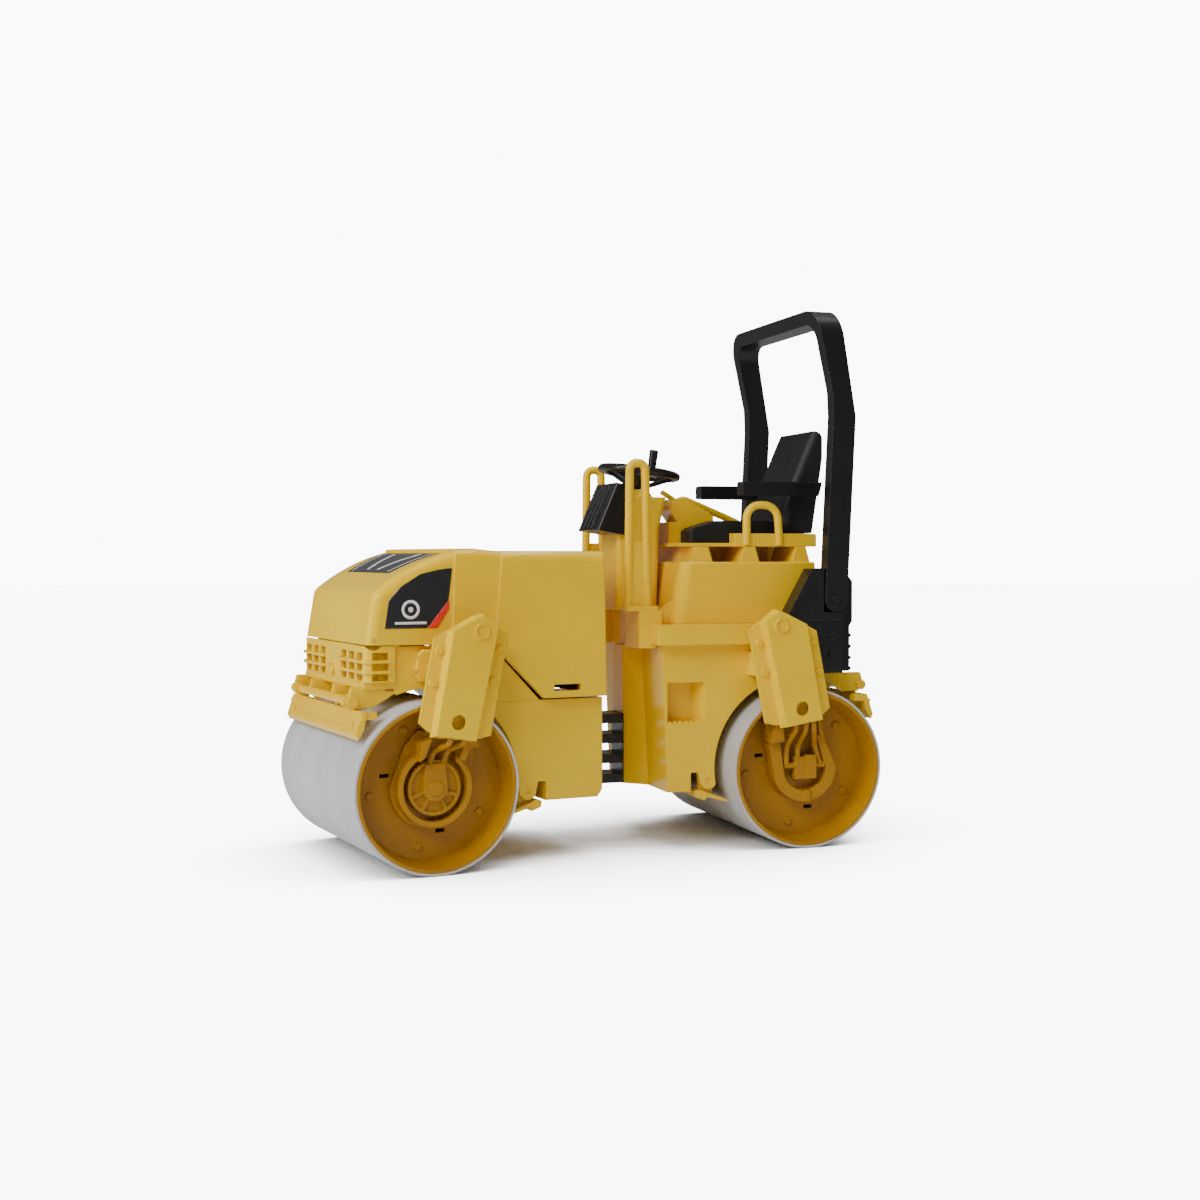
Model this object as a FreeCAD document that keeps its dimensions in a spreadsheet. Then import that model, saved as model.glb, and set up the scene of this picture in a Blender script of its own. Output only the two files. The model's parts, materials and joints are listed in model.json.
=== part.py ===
import FreeCAD, Part
import os
import re

import Sketcher
from FreeCAD import Placement, Rotation, Vector

# Toy road roller with two drums and a steering pin between its halves. Millimetres.
# +X points to the roller's left, +Y to its rear and +Z up. The origin is on the floor
# under the steering pin. Each half is modelled straight, and the front half is then
# turned about the pin. "inner" is towards the steering pin, "outer" is away from it.

SIZES = {
    # drums and stance
    "drum_radius": 39.0,
    "drum_width": 118.8,
    "drum_skin": 1.1,
    "drum_rim_wall": 1.7,
    "drum_rim_draft": 2.6,
    "drum_disc_depth": 13.0,
    "drum_disc_wall": 2.0,
    "drum_hub_radius": 7.0,
    "drum_cap_reach": 34.0,
    "drum_bump_circle": 28.0,
    "drum_bump_radius": 1.9,
    "drum_bump_height": 0.8,
    "drum_slot_circle": 21.5,
    "axle_radius": 3.0,
    "half_wheelbase": 98.6,
    "steer_at_rest": 8.82,
    "running_gap": 0.05,
    "body_gap": 0.4,
    # chassis shared by both halves
    "arch_gap": 5.0,
    "side_half": 46.0,
    "chassis_floor": 28.2,
    "chassis_chamfer": 3.0,
    "notch_roof": 37.3,
    "lobe_wall": 4.0,
    "lobe_radius": 4.2,
    "lobe_pin_height": 33.2,
    "lobe_pin_radius": 1.5,
    "arm_block_start": 72.0,
    "arm_block_end": 96.0,
    "arm_block_floor": 84.5,
    "arm_block_roof": 96.0,
    # front half
    "front_end": 10.0,
    "front_roof": 75.6,
    "front_lobe": 49.1,
    "front_deck_start": 43.2,
    "front_bracket_top": 81.6,
    "nose_end": 128.6,
    "nose_floor": 83.4,
    "grille_top": 102.8,
    "grille_wall": 2.4,
    "grille_half": 48.0,
    "grille_side_end": 114.6,
    "grille_window_low": 86.4,
    "grille_window_high": 100.4,
    "grille_bar": 1.4,
    "grille_bar_proud": 1.3,
    # hood
    "hood_front_half": 48.6,
    "hood_rear_half": 50.4,
    "hood_wall": 1.8,
    "hood_nose_low": 103.2,
    "hood_nose_high": 126.0,
    "hood_roof": 146.6,
    "hood_rear_roof": 145.2,
    "hood_step": 64.9,
    "hood_mid": 86.4,
    "hood_mid_proud": 0.9,
    "hood_rear_end": 10.2,
    "hood_rear_low": 76.6,
    "hood_kink": 42.5,
    "hood_slope_top": 96.9,
    "hood_slope_end": 62.8,
    "hood_edge_end": 98.5,
    "hood_edge_high": 102.7,
    "hood_round": 4.5,
    "hood_hinge_from_nose": 3.6,
    "hood_hinge_height": 105.0,
    "hood_pin_radius": 1.0,
    "hood_slot_length": 13.8,
    "hood_slot_start": 23.7,
    "hood_slot_height": 3.0,
    "hood_slot_floor": 79.8,
    # arms and hubs
    "arm_back": 60.4,
    "arm_flange": 1.9,
    "arm_face": 67.6,
    "arm_wall": 1.5,
    "arm_draft": 1.4,
    "tie_hole_radius": 3.4,
    "tie_hole_from_pivot": 91.8,
    "tie_hole_height": 69.1,
    "arm_bolt_radius": 1.9,
    "arm_bolt_height": 1.5,
    "yoke_back": 47.4,
    "yoke_plate": 2.0,
    "yoke_face": 55.0,
    "ring_outer": 17.6,
    "ring_inner": 15.2,
    "fork_outer": 16.8,
    "fork_inner": 11.3,
    "cap_radius": 12.5,
    "cap_rim": 1.5,
    "hose_radius": 1.4,
    # rear half
    "rear_end": 111.6,
    "rear_front_low": 30.2,
    "rear_front_high": 27.4,
    "rear_lobe": 51.5,
    "rear_bracket_top": 84.3,
    "deck_floor": 99.8,
    "deck_top": 109.4,
    "deck_half": 52.0,
    "deck_front": 24.0,
    "upstand_front": 17.8,
    "upstand_floor": 98.0,
    "upstand_top": 116.0,
    "upstand_half": 40.0,
    "step_front": 30.2,
    "step_rear": 49.5,
    "step_floor": 61.7,
    "step_roof": 81.4,
    "step_depth": 10.0,
    "step_tooth": 0.9,
    "rail_half": 35.5,
    "rail_tube": 2.1,
    "rail_front": 14.4,
    "rail_rear": 22.2,
    "rail_top": 190.0,
    "rail_web_top": 150.0,
    "rail_foot": 118.5,
    "tub_half": 38.0,
    "tub_front": 36.4,
    "tub_lean": 4.4,
    "tub_top": 139.8,
    "seat_rail_top": 147.35,
    "cover_half": 45.8,
    "cover_floor": 85.2,
    "cover_top": 133.2,
    "cover_rear": 127.0,
    "cover_bulge": 2.0,
    # column and wheel
    "column_half": 14.0,
    "column_top": 172.3,
    "dash_half": 17.0,
    "wheel_from_pivot": 31.3,
    "wheel_height": 185.0,
    "wheel_tilt": 7.5,
    "wheel_radius": 19.0,
    "wheel_tube": 2.1,
    "wheel_dish": 6.0,
    "wheel_shaft": 2.0,
    "knob_radius": 2.3,
    "knob_height": 10.5,
    # hoop
    "hoop_half": 56.5,
    "hoop_post": 6.8,
    "hoop_depth": 12.0,
    "hoop_top": 264.0,
    "hoop_kink": 211.5,
    "hoop_kink_front": 112.8,
    "hoop_foot_front": 108.6,
    "hoop_top_front": 103.2,
    "hoop_corner": 14.0,
    "hoop_pivot_height": 121.5,
    "hoop_pin_radius": 2.2,
    "plate_floor": 85.2,
    # seat
    "tray_half": 33.0,
    "tray_front": 70.9,
    "tray_rear": 114.7,
    "tray_floor": 147.4,
    "guide_half": 6.0,
    "guide_depth": 10.0,
    "guide_start": 60.0,
    "guide_length": 40.0,
    "seat_travel": 2.0,
    "tray_top": 154.0,
    "lip_front": 42.0,
    "lip_top": 149.2,
    "cushion_half": 24.0,
    "cushion_front": 50.0,
    "cushion_top": 160.4,
    "back_half": 22.0,
    "arm_rest_inner": 25.0,
    "arm_rest_outer": 33.0,
    "arm_rest_front": 74.7,
    "arm_rest_rear": 117.6,
    "arm_rest_floor": 173.0,
    "arm_rest_top": 180.0,
    "arm_rest_pin": 111.5,
    "loop_front": 76.9,
    "loop_rear": 94.8,
    "loop_top": 170.2,
    "loop_tube": 2.0,
    # scrapers
    "upper_pin_from_pivot": 133.6,
    "upper_pin_height": 78.2,
    "upper_rod_radius": 1.9,
    "upper_blade_half": 55.4,
    "upper_blade_top": 74.3,
    "upper_blade_tip": 61.9,
    "upper_ear": 43.1,
    "upper_inner_ear": 17.7,
    "upper_ear_wall": 3.2,
    "lower_blade_half": 46.0,
    # steering joint
    "joint_floor": 28.4,
    "joint_roof": 63.6,
    "joint_radius": 9.0,
    "joint_pin_radius": 3.0,
    "joint_levels": 7,
}

doc = FreeCAD.newDocument("RoadRoller")
sheet = doc.addObject("Spreadsheet::Sheet", "Sizes")
for row, (alias, amount) in enumerate(SIZES.items(), start=1):
    sheet.set(f"A{row}", alias)
    sheet.set(f"B{row}", str(amount))
    sheet.setAlias(f"B{row}", alias)
doc.recompute()

subparts = []
X_AXIS = Vector(1, 0, 0)
Y_AXIS = Vector(0, 1, 0)
Z_AXIS = Vector(0, 0, 1)
ALONG = {
    "x": Rotation(Y_AXIS, 90),
    "y": Rotation(X_AXIS, -90),
    "z": Rotation(),
}


def formula(text):
    """The expression with each size read from the sheet."""
    def from_sheet(word):
        return f"Sizes.{word[0]}" if word[0] in SIZES else word[0]

    return re.sub(r"[a-z][a-z_]*", from_sheet, str(text))


def number(text):
    """The value that an expression has now."""
    return float(sheet.evalExpression(formula(text)))


def bind(thing, **formulas):
    for path, text in formulas.items():
        thing.setExpression(path.replace("__", "."), formula(text))


def locate(thing, x="0", y="0", z="0"):
    bind(thing, Placement__Base__x=x, Placement__Base__y=y, Placement__Base__z=z)


def block(name, x, y, z):
    """A box between two planes along each axis."""
    box = doc.addObject("Part::Box", name)
    bind(
        box,
        Length=f"({x[1]}) - ({x[0]})",
        Width=f"({y[1]}) - ({y[0]})",
        Height=f"({z[1]}) - ({z[0]})",
    )
    locate(box, x[0], y[0], z[0])
    return box


def rod(name, axis, start, end, across, radius):
    """A cylinder along one axis, at two coordinates across it."""
    cylinder = doc.addObject("Part::Cylinder", name)
    bind(cylinder, Radius=radius, Height=f"({end}) - ({start})")
    cylinder.Placement = Placement(Vector(), ALONG[axis])
    spot = dict(zip([key for key in "xyz" if key != axis], across))
    spot[axis] = start
    locate(cylinder, **spot)
    return cylinder


def cone(name, axis, start, end, across, radii):
    shape = doc.addObject("Part::Cone", name)
    bind(shape, Radius1=radii[0], Radius2=radii[1], Height=f"({end}) - ({start})")
    shape.Placement = Placement(Vector(), ALONG[axis])
    spot = dict(zip([key for key in "xyz" if key != axis], across))
    spot[axis] = start
    locate(shape, **spot)
    return shape


def fuse(name, *pieces):
    joined = doc.addObject("Part::MultiFuse", name)
    joined.Shapes = list(pieces)
    joined.Refine = True
    return joined


def cut(name, base, *tools):
    rest = doc.addObject("Part::Cut", name)
    rest.Base = base
    rest.Tool = tools[0] if len(tools) == 1 else fuse(f"{name}Tools", *tools)
    rest.Refine = True
    return rest


def common(name, first, second):
    shared = doc.addObject("Part::Common", name)
    shared.Base = first
    shared.Tool = second
    shared.Refine = True
    return shared


def group(name, *pieces):
    """Several solids kept apart in one object."""
    together = doc.addObject("Part::Compound", name)
    together.Links = list(pieces)
    return together


def mirror(name, source, normal=X_AXIS):
    other = doc.addObject("Part::Mirroring", name)
    other.Source = source
    other.Normal = normal
    return other


def both_sides(name, source):
    """The piece and its mirror image across the middle, in one object."""
    return group(name, source, mirror(f"{name}Other", source))


def half_turn(name, source):
    """The piece turned by 180 degrees about the steering pin."""
    return mirror(name, mirror(f"{name}Side", source), Y_AXIS)


def body_sketch(body, name, plane, points, offset="0"):
    """A closed outline on one of the body's planes.

    A point is (u, v), or (u, v, radius) where the edge after it is an arc. The radius is
    positive where the arc turns to the left.
    """
    sketch = body.newObject("Sketcher::SketchObject", name)
    support = [face for face in body.Origin.OriginFeatures if face.Role == plane]
    sketch.AttachmentSupport = [(support[0], "")]
    sketch.MapMode = "FlatFace"
    bind(sketch, AttachmentOffset__Base__z=offset)
    spots = [Vector(number(point[0]), number(point[1]), 0) for point in points]
    ends = []
    for place, point in enumerate(points):
        here = spots[place]
        there = spots[(place + 1) % len(points)]
        if len(point) == 2:
            edge = sketch.addGeometry(Part.LineSegment(here, there))
            ends.append((edge, 1, 2))
            continue
        radius = number(point[2])
        middle = (here + there) * 0.5
        chord = there - here
        rise = max(radius * radius - chord.Length * chord.Length / 4, 0) ** 0.5
        left = Vector(-chord.y, chord.x, 0).normalize()
        centre = middle + left * (rise if radius > 0 else -rise)
        circle = Part.Circle(centre, Z_AXIS, abs(radius))
        start, end = (here, there) if radius > 0 else (there, here)
        arc = Part.ArcOfCircle(circle, circle.parameter(start), circle.parameter(end))
        edge = sketch.addGeometry(arc)
        ends.append((edge, 1, 2) if radius > 0 else (edge, 2, 1))
        size = sketch.addConstraint(Sketcher.Constraint("Radius", edge, abs(radius)))
        sketch.setExpression(f"Constraints[{size}]", formula(f"abs({point[2]})"))
    for place, (edge, start, end) in enumerate(ends):
        following, following_start, _ = ends[(place + 1) % len(ends)]
        sketch.addConstraint(
            Sketcher.Constraint("Coincident", edge, end, following, following_start)
        )
        for kind, value in zip(("DistanceX", "DistanceY"), points[place]):
            rule = sketch.addConstraint(
                Sketcher.Constraint(kind, edge, start, number(value))
            )
            sketch.setExpression(f"Constraints[{rule}]", formula(value))
    return sketch


def outline(name, plane, points, start, end):
    """A body: one outline padded between two planes."""
    body = doc.addObject("PartDesign::Body", name)
    sketch = body_sketch(body, f"{name}Sketch", plane, points, start)
    pad = body.newObject("PartDesign::Pad", f"{name}Pad")
    pad.Profile = sketch
    bind(pad, Length=f"({end}) - ({start})")
    return body


def lathe(name, points):
    """A body: an outline of (x, radius) turned about the X axis."""
    body = doc.addObject("PartDesign::Body", name)
    sketch = body_sketch(body, f"{name}Sketch", "XY_Plane", points)
    turn = body.newObject("PartDesign::Revolution", f"{name}Turn")
    turn.Profile = sketch
    turn.ReferenceAxis = (sketch, ["H_Axis"])
    turn.Angle = 360
    return body


def taper(name, low, high, start, end):
    """A body: a straight loft between two outlines on parallel YZ planes."""
    body = doc.addObject("PartDesign::Body", name)
    first = body_sketch(body, f"{name}Low", "YZ_Plane", low, start)
    last = body_sketch(body, f"{name}High", "YZ_Plane", high, end)
    loft = body.newObject("PartDesign::AdditiveLoft", f"{name}Loft")
    loft.Profile = first
    loft.Sections = [last]
    loft.Ruled = True
    return body


def round_edges(body, radius, wanted):
    """Round each edge of the body that the test picks."""
    doc.recompute()
    base = body.Tip
    picked = []
    for place, edge in enumerate(base.Shape.Edges, start=1):
        if wanted(edge):
            picked.append(f"Edge{place}")
    fillet = body.newObject("PartDesign::Fillet", f"{body.Name}Round{len(body.Group)}")
    fillet.Base = (base, picked)
    bind(fillet, Radius=radius)
    body.Tip = fillet


def direction(edge):
    first = edge.valueAt(edge.FirstParameter)
    last = edge.valueAt(edge.LastParameter)
    return (last - first).normalize() if (last - first).Length else Vector()


def runs_along(axis):
    def test(edge):
        return abs(direction(edge).dot(axis)) > 0.999 and edge.Curve.TypeId == "Part::GeomLine"

    return test


def tube(name, points, radius, bend):
    """A round tube along straight runs joined by tangent arcs."""
    spots = [Vector(*[number(value) for value in point]) for point in points]
    edges = []
    start = spots[0]
    for before, corner, after in zip(spots, spots[1:], spots[2:]):
        inward = (before - corner).normalize()
        onward = (after - corner).normalize()
        half = inward.getAngle(onward) / 2
        reach = min(number(bend), 0.45 * min((before - corner).Length, (after - corner).Length))
        first = corner + inward * reach
        last = corner + onward * reach
        across = (inward + onward).normalize()
        depth = reach / Vector(inward).dot(across) if half else reach
        hook = reach * (Vector(inward).cross(across)).Length / Vector(inward).dot(across)
        middle = corner + across * (depth - hook)
        edges.append(Part.LineSegment(start, first).toShape())
        edges.append(Part.Arc(first, middle, last).toShape())
        start = last
    edges.append(Part.LineSegment(start, spots[-1]).toShape())
    path = Part.Wire(edges)
    heading = (spots[1] - spots[0]).normalize()
    section = Part.Wire([Part.Circle(spots[0], heading, number(radius)).toShape()])
    piece = doc.addObject("Part::Feature", name)
    piece.Shape = path.makePipeShell([section], True, False)
    return piece


def subpart(label, thing, front=False):
    """Register a finished piece, and turn it about the pin where it is on the front half."""
    holder = thing if thing.TypeId == "Part::Compound" else group(f"{label}Piece", thing)
    holder.Label = label
    if front:
        holder.Placement = Placement(Vector(), Rotation(Z_AXIS, number("steer_at_rest")))
        bind(holder, Placement__Rotation__Angle="steer_at_rest")
    subparts.append(holder)
    return holder


# ---- drums ----

def drum(prefix, heading, front):
    """A grey skin on two end caps. The heading is the sign of Y."""
    centre = (f"{heading} * half_wheelbase", "drum_radius")
    inside = "drum_radius - drum_skin"
    skin = cut(
        f"{prefix}_skin",
        rod(f"{prefix}SkinOut", "x", "-drum_width / 2", "drum_width / 2", centre, "drum_radius"),
        rod(f"{prefix}SkinIn", "x", "-drum_width", "drum_width", centre, inside),
    )
    subpart(f"{prefix}_drum_skin", skin, front)
    face = "drum_width / 2 - drum_disc_depth"
    rim = f"{inside} - drum_rim_wall"
    foot = f"{rim} - drum_rim_draft"
    bore = "axle_radius + running_gap"
    profile = [
        ("drum_cap_reach", inside),
        ("drum_cap_reach", foot),
        (f"{face} - drum_disc_wall", foot),
        (f"{face} - drum_disc_wall", "drum_hub_radius"),
        ("drum_cap_reach", "drum_hub_radius"),
        ("drum_cap_reach", bore),
        (face, bore),
        (face, foot),
        ("drum_width / 2", rim),
        ("drum_width / 2", inside),
    ]
    cap = lathe(f"{prefix}Cap", profile)
    locate(cap, "0", *centre)
    bumps = []
    for place in range(5):
        angle = f"({place} * 72 - 29)"
        spot = (
            f"{centre[0]} + drum_bump_circle * cos({angle})",
            f"drum_radius + drum_bump_circle * sin({angle})",
        )
        bumps.append(
            rod(f"{prefix}Bump{place}", "x", f"{face} - 0.5", f"{face} + drum_bump_height", spot,
                "drum_bump_radius")
        )
    slots = []
    for place, angle in enumerate(("-75", "165")):
        middle = (
            f"{centre[0]} + drum_slot_circle * cos({angle})",
            f"drum_radius + drum_slot_circle * sin({angle})",
        )
        slots.append(
            block(
                f"{prefix}Slot{place}",
                (f"{face} - 4", f"{face} + 1"),
                (f"{middle[0]} - 2.2", f"{middle[0]} + 2.2"),
                (f"{middle[1]} - 0.9", f"{middle[1]} + 0.9"),
            )
        )
    left = cut(f"{prefix}CapLeft", fuse(f"{prefix}CapFull", cap, *bumps), *slots)
    subpart(f"{prefix}_drum_cap_left", left, front)
    subpart(f"{prefix}_drum_cap_right", mirror(f"{prefix}CapRight", left), front)
    axle = rod(f"{prefix}Axle", "x", "-yoke_back - yoke_plate", "yoke_back + yoke_plate", centre,
               "axle_radius")
    subpart(f"{prefix}_axle", axle, front)


drum("front", "-1", True)
drum("rear", "1", False)


# ---- chassis ----

def arch(prefix, heading, radius="drum_radius + arch_gap"):
    centre = (f"{heading} * half_wheelbase", "drum_radius")
    return rod(f"{prefix}Arch", "x", "-side_half - 20", "side_half + 20", centre, radius)


def lobe(prefix, heading, pin):
    """The rounded side plates that carry the lower scraper, both sides."""
    turn = "-lobe_radius" if heading == "-1" else "lobe_radius"
    points = [
        (f"{heading} * ({pin} - lobe_radius - 1.2)", "notch_roof + 0.5"),
        (f"{heading} * ({pin} - lobe_radius)", "lobe_pin_height", turn),
        (f"{heading} * {pin}", "lobe_pin_height - lobe_radius", turn),
        (f"{heading} * ({pin} + lobe_radius)", "lobe_pin_height"),
        (f"{heading} * ({pin} + lobe_radius + 1.2)", "notch_roof + 0.5"),
    ]
    plate = outline(f"{prefix}Lobe", "YZ_Plane", points, "side_half - lobe_wall", "side_half")
    hole = rod(f"{prefix}LobeHole", "x", "side_half - lobe_wall - 1", "side_half + 1",
               (f"{heading} * {pin}", "lobe_pin_height"), "lobe_pin_radius")
    return both_sides(f"{prefix}Lobes", cut(f"{prefix}LobeDrilled", plate, hole))


def arm_block(prefix, heading):
    """The block that carries an arm, both sides."""
    near = f"min({heading} * arm_block_start; {heading} * arm_block_end)"
    far = f"max({heading} * arm_block_start; {heading} * arm_block_end)"
    piece = block(f"{prefix}ArmBlock", ("side_half - 1", "arm_back"), (near, far),
                  ("arm_block_floor", "arm_block_roof"))
    return both_sides(f"{prefix}ArmBlocks", piece)


front_side = [
    ("-front_end", "front_roof"),
    ("-front_lobe - 26", "front_roof"),
    ("-front_lobe - 9", "notch_roof"),
    ("-front_lobe + 9.2", "notch_roof"),
    ("-front_lobe + 9.2", "chassis_floor"),
    ("-front_end - chassis_chamfer", "chassis_floor"),
    ("-front_end", "chassis_floor + chassis_chamfer + 1"),
]
front_tub = outline("FrontTub", "YZ_Plane", front_side, "-side_half", "side_half")
round_edges(front_tub, "1.2", lambda edge: runs_along(Z_AXIS)(edge) and edge.CenterOfMass.y > -15)
front_gusset = block("FrontGusset", ("-8", "8"), ("-front_end - 1", "-joint_radius + 6"),
                     ("joint_roof + body_gap", "front_roof"))
front_chassis = cut(
    "FrontChassis",
    fuse("FrontChassisFull", front_tub, lobe("front", "-1", "front_lobe"), front_gusset),
    arch("front", "-1"),
)
subpart("front_chassis", front_chassis, True)

def ears(prefix, side):
    """The cheeks and inner ears that hold an upper scraper's rod."""
    cheek = outline(f"{prefix}Cheek", "YZ_Plane", side, "upper_ear - upper_ear_wall / 2",
                    "upper_ear + upper_ear_wall / 2")
    inner = outline(f"{prefix}Ear", "YZ_Plane", side, "upper_inner_ear - 1.2",
                    "upper_inner_ear + 1.2")
    return both_sides(f"{prefix}Ears", fuse(f"{prefix}EarPair", cheek, inner))


def bracket_side(heading, start, top):
    return [
        (f"{heading} * {start}", top),
        (f"{heading} * {start}", "drum_radius + 43.6"),
        (f"{heading} * 112.0", "82.3"),
        (f"{heading} * 123.7", "74.9"),
        (f"{heading} * 132.4", "74.9"),
        (f"{heading} * (upper_pin_from_pivot + 1.6)", "upper_pin_height + 0.6"),
        (f"{heading} * (upper_pin_from_pivot + 0.2)", top),
    ]


# the deck under the hood, with the floor of the nose, the hood's hinge lugs and the
# bracket of the upper scraper
hinge_y = "-nose_end + 0.4 + hood_hinge_from_nose"
deck_side = [
    ("-front_deck_start", "front_roof"),
    ("-hood_slope_end", "hood_slope_top - body_gap"),
    ("-hood_edge_end", "hood_edge_high - body_gap"),
    ("-grille_side_end", "hood_edge_high - body_gap"),
    ("-grille_side_end", "nose_floor + 3"),
    ("-nose_end", "nose_floor + 3"),
    ("-nose_end", "nose_floor"),
    ("-grille_side_end", "nose_floor"),
    ("-half_wheelbase - 12", "drum_radius + 35"),
    ("-front_lobe - 26", "front_roof"),
]
front_deck_body = outline("FrontDeck", "YZ_Plane", deck_side, "-side_half", "side_half")
lug_points = [
    (f"{hinge_y} + 1.0", "hood_hinge_height + 1.1"),
    (f"{hinge_y} - 0.8", "hood_hinge_height + 1.2", "1.45"),
    (f"{hinge_y} - 0.2", "hood_hinge_height - 1.4"),
    (f"{hinge_y} + 4.6", "hood_hinge_height - 2.9"),
    (f"{hinge_y} + 10.2", "hood_edge_high - body_gap - 0.5"),
    (f"{hinge_y} + 12.5", "hood_edge_high - body_gap - 0.5"),
    (f"{hinge_y} + 12.5", "hood_edge_high + 1.0"),
]
hinge_lug = outline("HingeLug", "YZ_Plane", lug_points, "side_half - 3.2", "side_half")
hinge_lugs = both_sides("HingeLugs", hinge_lug)
front_plate = block("FrontBracketPlate", ("-upper_ear", "upper_ear"),
                    ("-nose_end + 4", "-nose_end + 10"), ("front_bracket_top - 1.2", "nose_floor"))
front_deck = cut(
    "FrontDeckCut",
    fuse("FrontDeckFull", front_deck_body, arm_block("front", "-1"),
         hinge_lugs, front_plate,
         ears("front", bracket_side("-1", "(nose_end - 10)", "(nose_floor + 1)"))),
    arch("frontDeck", "-1"),
    rod("FrontRodRoom", "x", "-60", "60", ("-upper_pin_from_pivot", "upper_pin_height"),
        "upper_rod_radius"),
)
subpart("front_deck", front_deck, True)

pin_spot = (hinge_y, "hood_hinge_height")
hood_pin = rod("HoodPin", "x", "side_half", "hood_front_half - 0.1", pin_spot, "hood_pin_radius")
subpart("hood_pins", both_sides("HoodPins", hood_pin), True)

# grille: a wall round the nose with three rows of windows and proud bars
grille_z = ("nose_floor + 3", "grille_top")
grille_outer = outline(
    "GrilleOuter",
    "XY_Plane",
    [
        ("-grille_half", "-grille_side_end"),
        ("-grille_half", "-nose_end + 4", "4"),
        ("-grille_half + 4", "-nose_end"),
        ("grille_half - 4", "-nose_end", "4"),
        ("grille_half", "-nose_end + 4"),
        ("grille_half", "-grille_side_end"),
    ],
    *grille_z,
)
grille_hollow = block("GrilleHollow", ("-grille_half + grille_wall", "grille_half - grille_wall"),
                      ("-nose_end + grille_wall", "0"), ("nose_floor", "grille_top + 1"))
window_cuts = []
row_height = "(grille_window_high - grille_window_low) / 3"
for row in range(3):
    low = f"grille_window_low + {row} * {row_height} + grille_bar / 2"
    high = f"grille_window_low + {row + 1} * {row_height} - grille_bar / 2"
    for column in range(3):
        start = f"12.5 + {column} * 11.6"
        window_cuts.append(
            block(f"Window{row}{column}", (start, f"{start} + 7.6"), ("-nose_end - 1", "-nose_end + 4"),
                  (low, high))
        )
    window_cuts.append(
        block(f"WindowSide{row}", ("grille_half - 4", "grille_half + 1"),
              ("-nose_end + 3.4", "-grille_side_end - 3.2"), (low, high))
    )
windows = both_sides("Windows", fuse("WindowsLeft", *window_cuts))
hinge_groove = rod("HingeGroove", "x", "-60", "60", pin_spot, "4.25")
bars = []
for row in range(1, 3):
    middle = f"grille_window_low + {row} * {row_height}"
    start = (f"{middle} - grille_bar / 2", f"{middle} + grille_bar / 2")
    reach = "grille_half + grille_bar_proud"
    whole = outline(
        f"BarOuter{row}",
        "XY_Plane",
        [
            ("11", "-nose_end + 1"),
            ("11", "-nose_end - grille_bar_proud"),
            (f"{reach} - 5", "-nose_end - grille_bar_proud", "5"),
            (reach, "-nose_end - grille_bar_proud + 5"),
            (reach, "-grille_side_end - 2.6"),
            (f"{reach} - 2", "-grille_side_end - 2.6"),
            (f"{reach} - 2", "-nose_end + 1"),
        ],
        *start,
    )
    bars.append(whole)
bar_hollow = block("BarHollow", ("0", "grille_half - 0.6"), ("-nose_end + 0.6", "0"),
                   ("nose_floor", "grille_top"))
bars_left = cut("BarsLeft", fuse("BarsWhole", *bars), bar_hollow)
lamp = rod("Lamp", "y", "-nose_end - 1.4", "-nose_end + 0.5", ("0", "90.6"), "3.4")
lamp_eye = rod("LampEye", "y", "-nose_end - 2", "-nose_end - 0.6", ("0", "90.6"), "2.4")
grille = cut(
    "Grille",
    fuse("GrilleFull", cut("GrilleWall", grille_outer, grille_hollow, windows, hinge_groove),
         both_sides("Bars", bars_left), lamp),
    lamp_eye,
    hinge_lugs,
)
subpart("grille", grille, True)

# engine block and radiator fins under the hood
engine_body = block("EngineBody", ("-24", "24"), ("-92", "-40"), ("hood_edge_high + 0.2", "128"))
engine_foot = block("EngineFoot", ("-20", "20"), ("-56", "-30"), ("front_roof", "hood_edge_high + 1"))
fins = [
    block(f"Fin{place}", ("-27", "27"), (f"-88 + {place} * 6", f"-85.5 + {place} * 6"),
          ("hood_edge_high + 4", "131"))
    for place in range(8)
]
engine = cut("Engine", fuse("EngineFull", engine_body, engine_foot, *fins),
             outline("DeckRoom", "YZ_Plane", deck_side[:3] + [("-hood_edge_end", "60"),
                     ("-front_deck_start", "60")], "-60", "60"))
subpart("engine_block", engine, True)

# rounded covers beside the deck, just ahead of the arms, with two dark slots each
hose_cover = outline(
    "HoseCover",
    "YZ_Plane",
    [
        ("-97.5", "86.2"),
        ("-97.5", "100.6"),
        ("-101.6", "101.0"),
        ("-104.6", "98.6"),
        ("-105.6", "89.6"),
        ("-103.4", "86.2"),
    ],
    "side_half",
    "side_half + 3.4",
)
round_edges(hose_cover, "1.1", lambda edge: edge.CenterOfMass.x > number("side_half + 3.3"))
cover_slots = [
    block(f"CoverSlot{place}", ("side_half + 1", "side_half + 5"), ("-106.2", "-104.0"),
          (low, high))
    for place, (low, high) in enumerate((("89.4", "91.4"), ("96.4", "98.4")))
]
covers = both_sides("HoseCovers", cut("HoseCoverCut", hose_cover, *cover_slots))
subpart("hose_covers", covers, True)


# ---- hood ----

def edge_height(place):
    """The height of the hood's lower edge ahead of its slope."""
    rise = "(hood_edge_high - hood_slope_top) / (hood_edge_end - hood_slope_end)"
    return f"hood_slope_top - (({place}) + hood_slope_end) * {rise}"


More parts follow.
